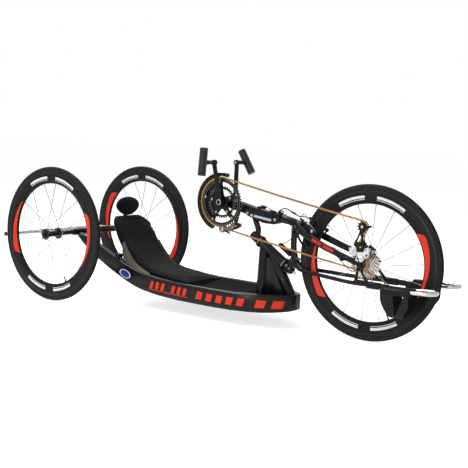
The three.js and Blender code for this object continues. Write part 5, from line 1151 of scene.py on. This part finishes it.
def make_rear_derailleur():
    p = Parts()
    # Knuckle on the hanger, with its mounting bolt and tension screw.
    cheek(p, [(1412, 352), (1420, 346), (1438, 347), (1446, 356), (1442, 370), (1424, 373),
              (1413, 366)], 4, 69, 81, 0, 1.4)
    rod(p, (1409, -75, 368), (1416, -75, 364), 2.6, 10, 1, 0.6)
    # Long bright link towards the cage, a black link over it, and the cage's spring housing.
    cheek(p, strip((1430, 346), (1488, 351), 6.5, 9.5), 0, 74, 79, 0, 1.2)
    cheek(p, [(1470, 336), (1486, 330), (1497, 342), (1496, 374), (1484, 382), (1474, 366)], 5,
          72, 78.5, 0, 1.4)
    cheek(p, [(1441, 322), (1470, 318), (1480, 330), (1474, 342), (1446, 342)], 4, 79, 83, 0, 1.2)
    for place, radius, height, look in (((1432, -81, 359), 6.2, 3.0, 1),
                                        ((1487, -78.5, 347), 4.4, 2.4, 3),
                                        ((1453, -83, 331), 3.6, 2.2, 3),
                                        ((1469, -83, 330), 3.0, 2.0, 2)):
        bolt(p, place, -Y, radius, height, look)
    for x, z, radius in ((1482, 366, 2.6), (1486, 337, 2.2), (1444, 347, 2.4)):
        rod(p, (x, -79.6, z), (x, -80.2, z), radius, 12, 3)
    cheek(p, strip((1448, 361), (1486, 382), 5.0, 6.0), 0, 75.5, 81, 3, 1.0)
    housing = (GUIDE.x, 0, GUIDE.z)
    turned(p, [(66, 0), (66, 12.4), (67.4, 13.4), (76, 13.4), (77.6, 12), (78.2, 8), (78.2, 4.6),
               (77.2, 4.2), (77.2, 0)], housing, -Y, 28, 3)
    turned(p, [(77.2, 0), (77.2, 3.8), (79.0, 3.4), (79.0, 0)], housing, -Y, 6, 1)
    cheek(p, [(1486, 376), (1496, 371), (1514, 364), (1517, 370), (1500, 382), (1489, 386)], 3,
          57, 66, 3, 0.9)
    rod(p, (1503, -62, 374), (1522, -62, 361), 2.2, 10, 1, 0.5)
    p.fit("rear_changer_body", ["cast", "bolt", "steel", "part_black"], "fork", "silver",
          "derailleur_body")
    # Cage: two plates with cut-outs on the pulleys' pins.
    up = (TENSION - GUIDE).normalized()
    inner = rounded([(-9, -9), (0, -13), (9, -9), (10, 6), (6.5, 22), (7.5, 52), (11, 66),
                     (10, 84), (4, 93), (-6, 92), (-10, 82), (-9, 66), (-6.5, 50), (-7, 22),
                     (-10, 6)], 3)
    slot = rounded([(-2.6, 24), (2.6, 24), (3.4, 50), (0, 56), (-3.4, 50)], 1.5)
    outer = rounded([(1423, 377), (1441, 369), (1462, 372), (1472, 380), (1468, 396), (1461, 420),
                     (1463, 437), (1470, 446), (1468, 460), (1457, 466), (1446, 460), (1443, 446),
                     (1446, 434), (1436, 408), (1427, 393)], 4)
    window = rounded([(1438, 393), (1453, 393), (1454, 410), (1449, 422)], 2)
    plates = [plate("cage_plate", [inner, slot, circle(3.0, 16), circle(3.0, 16, (0, 77))], 2.0,
                    0.35, (GUIDE.x, -52, GUIDE.z), "part_black", Vector((up.z, 0, -up.x)), up),
              plate("cage_plate", [outer, window], 2.2, 0.35, (0, -65.2, 0), "part_black")]
    settle(joined("changer_cage", plates), "fork", "part_black", "derailleur_cage")
    p = Parts()
    for x, _, z in (GUIDE, TENSION):
        rod(p, (x, -66.4, z), (x, -50.8, z), 3.0)
        bolt(p, (x, -66.2, z), -Y, 4.6, 2.0)
    cheek(p, [(1470, 440), (1480, 446), (1497, 454), (1496, 461), (1478, 458), (1468, 452)], 2,
          64, 67, 1, 0.6)
    for x, z, look in ((1452, 309, 1), (1444, 300, 0)):
        bolt(p, (x, -78.2, z), -Y, 4.4, 2.6, look)
    p.fit("changer_bolts", ["bolt", "part_black"], "fork", "steel")


make_rear_derailleur()


def make_front_derailleur():
    p = Parts()
    for low, high in ((54.6, 56.0), (39.4, 40.8)):
        cheek(p, [(766, 383), (771, 371), (782, 366), (796, 372), (812, 373), (838, 384),
                  (853, 402), (848, 420), (836, 414), (824, 400), (800, 392), (788, 398),
                  (772, 394)], 4, low, high, 0, 0.4)
    for x, z in ((777, 373.5), (840, 396), (800, 375.8)):
        rod(p, (x, -55, z), (x, -40, z), 2.4, 10, 1)
        bolt(p, (x, -56, z), -Y, 3.2, 1.6, 1)
    cheek(p, [(782, 372), (794, 377), (794, 388), (782, 391)], 3, 56, 58, 1, 0.6)
    cheek(p, strip((800, 378), (826, 369), 3.2, 3.8), 0, 56, 58.6, 2, 0.8)
    cheek(p, [(822, 393), (836, 386), (848, 385), (876, 402), (872, 412), (854, 416),
              (838, 408)], 4, 34, 51, 2, 1.4)
    bolt(p, (852, -51, 402), -Y, 4.2, 2.4, 1)
    rod(p, (866, -42, 408), (880, -42, 404), 3.0, 12, 1, 0.6)
    cheek(p, [(826, 404), (842, 404), (850, 436), (858, 462), (842, 462), (832, 436)], 4, 23.5,
          33, 2, 1.2)
    box(p, (836, -27, 408), X, Y, 16, 26, 9, 2)
    p.fit("ring_changer_cage", ["changer_steel", "bolt", "part_black"], "ring_changer", "steel",
          "front_derailleur")


make_front_derailleur()


# ---------------------------------------------------------------- clamp, brakes and cables
def on_boom(along, above, y=0.0):
    return CRANK + BOOM_D * along + BOOM_N * above + Y * y


def make_controls():
    p = Parts()
    # Fluted knob and the clamp's bolts.
    turned(p, [(0, 0), (0, 12), (1.2, 14.6), (10.5, 14.6), (12.2, 12.8), (12.8, 8), (12.8, 0)],
           on_boom(187, 24), BOOM_N, 12)
    for side in (-1, 1):
        for along, above in ((128, -12), (268, 1)):
            bolt(p, on_boom(along, above, side * 24.2), Y * side, 5.0, 3.0, 1)
    box(p, (1008, 0, 473), BOOM_D, Y, 20, 20, 8, 0, 3, 1.4)
    box(p, (984, 0, 479), BOOM_D, Y, 26, 18, 9, 2, 3, 1.4)
    bolt(p, (984, 0, 483.5), BOOM_N, 5.4, 3.4, 1)
    p.fit("boom_controls", ["part_black", "bolt", "cast"], "fork", "part_black")
    # Brake cable with its adjuster and ferrules.
    p = Parts()
    sweep(p, smooth_path([(1035, 0, 478), (1050, 2, 486), (1066, 3, 490), (1093, 5, 479),
                          (1124, 7, 464), (1158, 9, 462), (1186, 10, 455)]), 2.3)
    turned(p, [(0, 0), (0, 3.2), (1, 3.9), (6, 3.9), (7, 3.2), (9, 3.2), (10, 4.6), (22, 4.6),
               (23, 3.4), (31, 3.0), (31, 0)], (1092, 5, 479.6), (31, 2, -14), 14,
           looks=[0, 0, 0, 1, 0, 0, 0, 0, 1, 0, 0])
    p.fit("brake_cable_run", ["cable_black", "bolt"], "fork", "cable_black", "brake_cable")
    p = Parts()
    box(p, (1381, -76, 320), X, Z, 15, 12, 9, 0, 2.5, 1.0)
    p.fit("gear_cable_stop", "part_black", "fork", "part_black")


make_controls()


def make_brakes():
    """Rim brake arms' bolts and springs, with the guide pipe between their tops."""
    for name, side in SIDES:
        p = Parts()
        for share, y, radius in ((0.10, 60, 5.4), (0.52, 46, 4.2), (0.93, 24, 3.6)):
            bolt(p, (1240 - 75 * share, side * y, 410 + 46 * share), Y * side, radius, 3.2, 1)
        sweep(p, smooth_path([(1238, side * 50, 404), (1246, side * 56, 414),
                              (1232, side * 58, 430), (1204, side * 46, 446)], 6), 0.9, 6, 1)
        if side < 0:
            sweep(p, smooth_path([(1154, -9, 468), (1162, -14, 475), (1174, -19, 475),
                                  (1184, -23, 466), (1188, -26, 456)], 6), 2.3, 10, 1)
            for spot in ((1172, -28, 452), (1190, -33, 446), (1206, -38, 437)):
                bolt(p, spot, -Y, 4.6, 3.2, 1)
        p.fit("brake_fittings_" + name, ["part_black", "bolt"], "rim_brake_" + name, "part_black")


make_brakes()


def make_head():
    """Headset rings, the steerer's knob and the crown's pinch bolts."""
    p = Parts()
    for along in (-80.6, 66.6):
        for look, ring in ((0, [(0, 22), (0, 24.9), (1.2, 25.6), (12.8, 25.6), (14, 24.9),
                                (14, 22)]),
                           (1, [(6, 25.5), (6, 26.0), (8, 26.0), (8, 25.5)])):
            turned(p, [(along + a, r) for a, r in ring], HEAD, STEER_D, 40, look, True)
    p.fit("headset_rings", ["hub_black", "steel"], "frame", "frame_black")
    p = Parts()
    turned(p, [(-131, 0), (-131, 5), (-130, 6.4), (-127.4, 6.4), (-127, 13.2), (-125.6, 15.6),
               (-120, 15.6), (-118.6, 14), (-118.6, 0)], HEAD, STEER_D, 28,
           looks=[1, 1, 1, 0, 0, 0, 0, 0])
    for x, z in ((1093, 258), (1106, 246)):
        for side in (-1, 1):
            bolt(p, (x, side * 15, z), Y * side, 4.6, 4.4, 1)
    bolt(p, HEAD + STEER_D * 135.5, STEER_D, 7.0, 3.0, 1)
    p.fit("steerer_knob", ["part_black", "bolt"], "fork", "part_black")


make_head()


# ---------------------------------------------------------------- frame fittings
def make_web():
    """A hollow gusset that fairs the mast's front leg into its rear leg, and the floor below it."""
    p = Parts()
    rings, rear = [], 984.6
    for z in (126, 150, 180, 210, 240, 262, 280):
        leg = 1012 + (301 - z) * 100 / 188
        ring = []
        for t in (k / 8 - 1 for k in range(17)):
            y = 12 + 9.8 * min(1.0, (1 - abs(t)) * 1.6) ** 0.6
            ring.append((rear + (leg - rear) * (1 - abs(t)), y if t >= 0 else -y, z))
        rings.append(ring)
    loft(p, rings)
    p.fit("mast_web", "frame_black", "frame", "frame_black", smooth=40)
    # The floor closes the gaps round the pan and ahead of it.
    half = [(425, 140), (596, 140), (900, 136), (960, 122), (1000, 112), (1060, 84), (1094, 56),
            (1112, 20)]
    p = Parts()
    slab(p, [(x, -y) for x, y in half] + half[::-1], ORIGIN, X, Y, 112, 116.8, 0, 1.0)
    p.fit("rail_floor", "pan_black", "frame", "pan_black")


make_web()


def make_fittings():
    caps, p = Parts(), Parts()
    for side in (-1, 1):
        turned(caps, [(0, 0), (0, 10.9), (2.6, 10.9), (3.6, 9.8), (3.6, 0)],
               (-350, side * 285.5, 273), Y * side)
        cheek(p, [(283, 186), (300, 184), (313, 196), (311, 214), (296, 217), (284, 206)], 5, -4,
              4, 0, 1.0, side * 140)
        for x, z in ((292, 196), (304, 207)):
            bolt(p, (x, side * 144.2, z), Y * side, 4.0, 2.6, 1)
        # Washers at the rear hubs' inner ends, and the seat support's bushes.
        turned(p, [(255.6, 12.2), (255.6, 15.4), (257.2, 16), (259.2, 15.4), (259.2, 12.2)],
               (0, 0, AXLE), Y * side, 28, 1, True)
        turned(p, [(-3, 6.4), (-3, 9.6), (-1.5, 10.8), (1.5, 10.8), (3, 9.6), (3, 6.4)],
               (269, side * 140, 206), Y, 28, 1, True)
    caps.fit("rear_bar_caps", "cap_black", "frame", "part_black")
    p.fit("seat_brackets", ["part_black", "bolt"], "frame", "part_black")


make_fittings()


# ---------------------------------------------------------------- stripes and badges
def surface(node, side):
    """A finder of a node's outer face: what a ray from its side hits at x and z in millimetres."""
    obj = NODES[node]
    tree = BVHTree.FromPolygons([obj.matrix_world @ v.co for v in obj.data.vertices],
                                [tuple(p.vertices) for p in obj.data.polygons])

    def hit(x, z, lift):
        return tree.ray_cast(at(x, side * 420, z), -Y * side)[0] + Y * (side * lift / 1000)
    return hit


STRIPE_LIFTS = 0.5, -0.25
RAIL_Z, RAIL_DROP, DROP_X, DROP_RUN = 114, 15.5, 465, 335
BADGE_X, BADGE_Z, BADGE_LEAN = 319, 144, radians(-15)
BADGE_WIDE, BADGE_HIGH, BADGE_SHARES = 34, 18.5, (0, 0.3, 0.6, 0.84, 1)


def make_stripes(name, node, body, side, bands, slot, look="red"):
    """Closed films, each laid on a face between two lines of [x, z]."""
    hit = surface(node, side)
    p = Parts()
    for top, bottom, columns in bands:
        grids = []
        for lift in STRIPE_LIFTS:
            grid = []
            for i in range(columns + 1):
                a, b = (Vector(line[0]).lerp(Vector(line[1]), i / columns)
                        for line in (top, bottom))
                grid.append([hit(*a.lerp(b, k / 3), lift) for k in range(4)])
            grids.append(grid)
        skin(p, *grids)
    p.fit(name, look, body, slot, place=Vector, smooth=50)


def rail_bands():
    """Slanted bars in three groups, with a thin line under the first."""
    def line(start, end, rise):
        """Two points above the rail's middle, whose height is taken at a second X."""
        return [(x, RAIL_Z - RAIL_DROP * clamp((place - DROP_X) / DROP_RUN) + rise)
                for x, place in (start, end)]

    bars = [(x, x + 25) for x in (468, 500, 532, 592, 624, 656)]
    bars += [(x, x + 38) for x in (730, 781, 832, 883, 934)]
    bars += [(1012, 1058), (1074, 1120)]
    lean = 9
    bands = [(line((a + lean, a), (b, b), 17), line((a, a), (b - lean, b), -15), 5)
             for a, b in bars]
    bands += [(line((a, a), (b, b), -18.5), line((a, a), (b, b), -21.5), 6)
              for a, b in ((464, 574), (574, 684))]
    return bands


def straight_bands(a, b, spans, high, low, lean):
    """Bars along the line from a to b, between distances from a, whose ends lean."""
    a, b = Vector(a), Vector(b)
    along = (b - a).normalized()
    up = Vector((-along.y, along.x))
    return [([a + along * (start + lean) + up * high, a + along * end + up * high],
             [a + along * start + up * low, a + along * (end - lean) + up * low], 6)
            for start, end in spans]


def make_badge(name, node, side):
    """A plain oval badge with a pale rim on the rail's outer face."""
    hit = surface(node, side)
    rings = []
    for lift, order in ((0.5, BADGE_SHARES), (-0.3, BADGE_SHARES[::-1])):
        for share in order:
            ring = []
            for t in turns(32) if share else (0,):
                u, v = BADGE_WIDE * share * cos(t), BADGE_HIGH * share * sin(t)
                ring.append(hit(BADGE_X + u * cos(BADGE_LEAN) - v * sin(BADGE_LEAN),
                                BADGE_Z + u * sin(BADGE_LEAN) + v * cos(BADGE_LEAN), lift))
            rings.append(ring)
    p = Parts()
    loft(p, rings, looks=[0, 0, 0, 1, 1, 1, 0, 0, 0])
    p.fit(name, ["blue", "white"], "frame", "frame_black", place=Vector, smooth=50)


for name, side in SIDES:
    make_stripes(name + "_rail_stripes", "side_rail_" + name, "frame", side, rail_bands(),
                 "frame_black")
BLADE_BANDS = straight_bands((1234, 381.6), (1344, 342.6), ((0, 50), (57, 112)), 6.0, -5.6, 2)
for name, side in SIDES:
    make_stripes(name + "_blade_stripes", "fork_blade_" + name, "fork", side, BLADE_BANDS,
                 "fork_black")
make_stripes("clamp_strip", "boom_clamp", "fork", -1, straight_bands(
    (908, 452), (1014, 438), ((0, 13), (19, 106)), 4.8, -4.8, 0), "part_black", "pale")
for name, side in SIDES:
    make_badge(name + "_rail_badge", "side_rail_" + name, side)


# ---------------------------------------------------------------- floor and light
def make_stage():
    size = 60
    data = bpy.data.meshes.new("floor")
    data.from_pydata([(-size, -size, 0), (size, -size, 0), (size, size, 0), (-size, size, 0)], [],
                     [(0, 1, 2, 3)])
    floor = link(bpy.data.objects.new("floor", data))
    floor.location.z = -0.0004
    n = Nodes(bpy.data.materials.new("floor_pale"))
    n.set(Base_Color=(0.86, 0.86, 0.86), Roughness=0.9, Specular_IOR_Level=0.0)
    glow = n.node("Emission", {"Strength": n.math("MULTIPLY", n.seen(), 0.68)}).outputs[0]
    both = n.node("AddShader", {0: n.shader.outputs[0], 1: glow}).outputs[0]
    n.feed(n.tree.nodes["Material Output"].inputs["Surface"], both)
    data.materials.append(n.owner)
    n = Nodes(bpy.data.worlds.new("studio"))
    bpy.context.scene.world = n.owner
    level = n.node("MapRange", {"Value": n.seen(), "To Min": 0.36, "To Max": 1.0})
    sky = n.tree.nodes["Background"].inputs
    n.feed(sky["Strength"], level.outputs["Result"])
    n.feed(sky["Color"], (1, 1, 1))


def lamp(name, place, target, size, energy, roll=0.0):
    data = bpy.data.lights.new(name, "AREA")
    data.shape, data.size, data.size_y = "RECTANGLE", *size
    data.energy = energy
    made = link(bpy.data.objects.new(name, data))
    made.location = place
    made.rotation_mode = "QUATERNION"
    made.rotation_quaternion = ((Vector(target) - Vector(place)).to_track_quat("-Z", "Y")
                                @ Quaternion(Z, roll))


make_stage()
lamp("overhead", (-1.4, -0.4, 3.4), (-0.4, 0, 0.2), (4.8, 1.0), 105)
lamp("front_softbox", (2.6, -3.6, 2.6), (0.2, 0, 0.3), (1.6, 0.5), 14)
lamp("side_strip", (0.54, -3.55, 0.78), (0.35, 0, 0.2), (2.4, 0.2), 32, radians(28))
lamp("rear_softbox", (-3.0, 2.6, 2.4), (0, 0, 0.3), (1.6, 0.5), 18)

bpy.context.scene.view_settings.view_transform = "Standard"
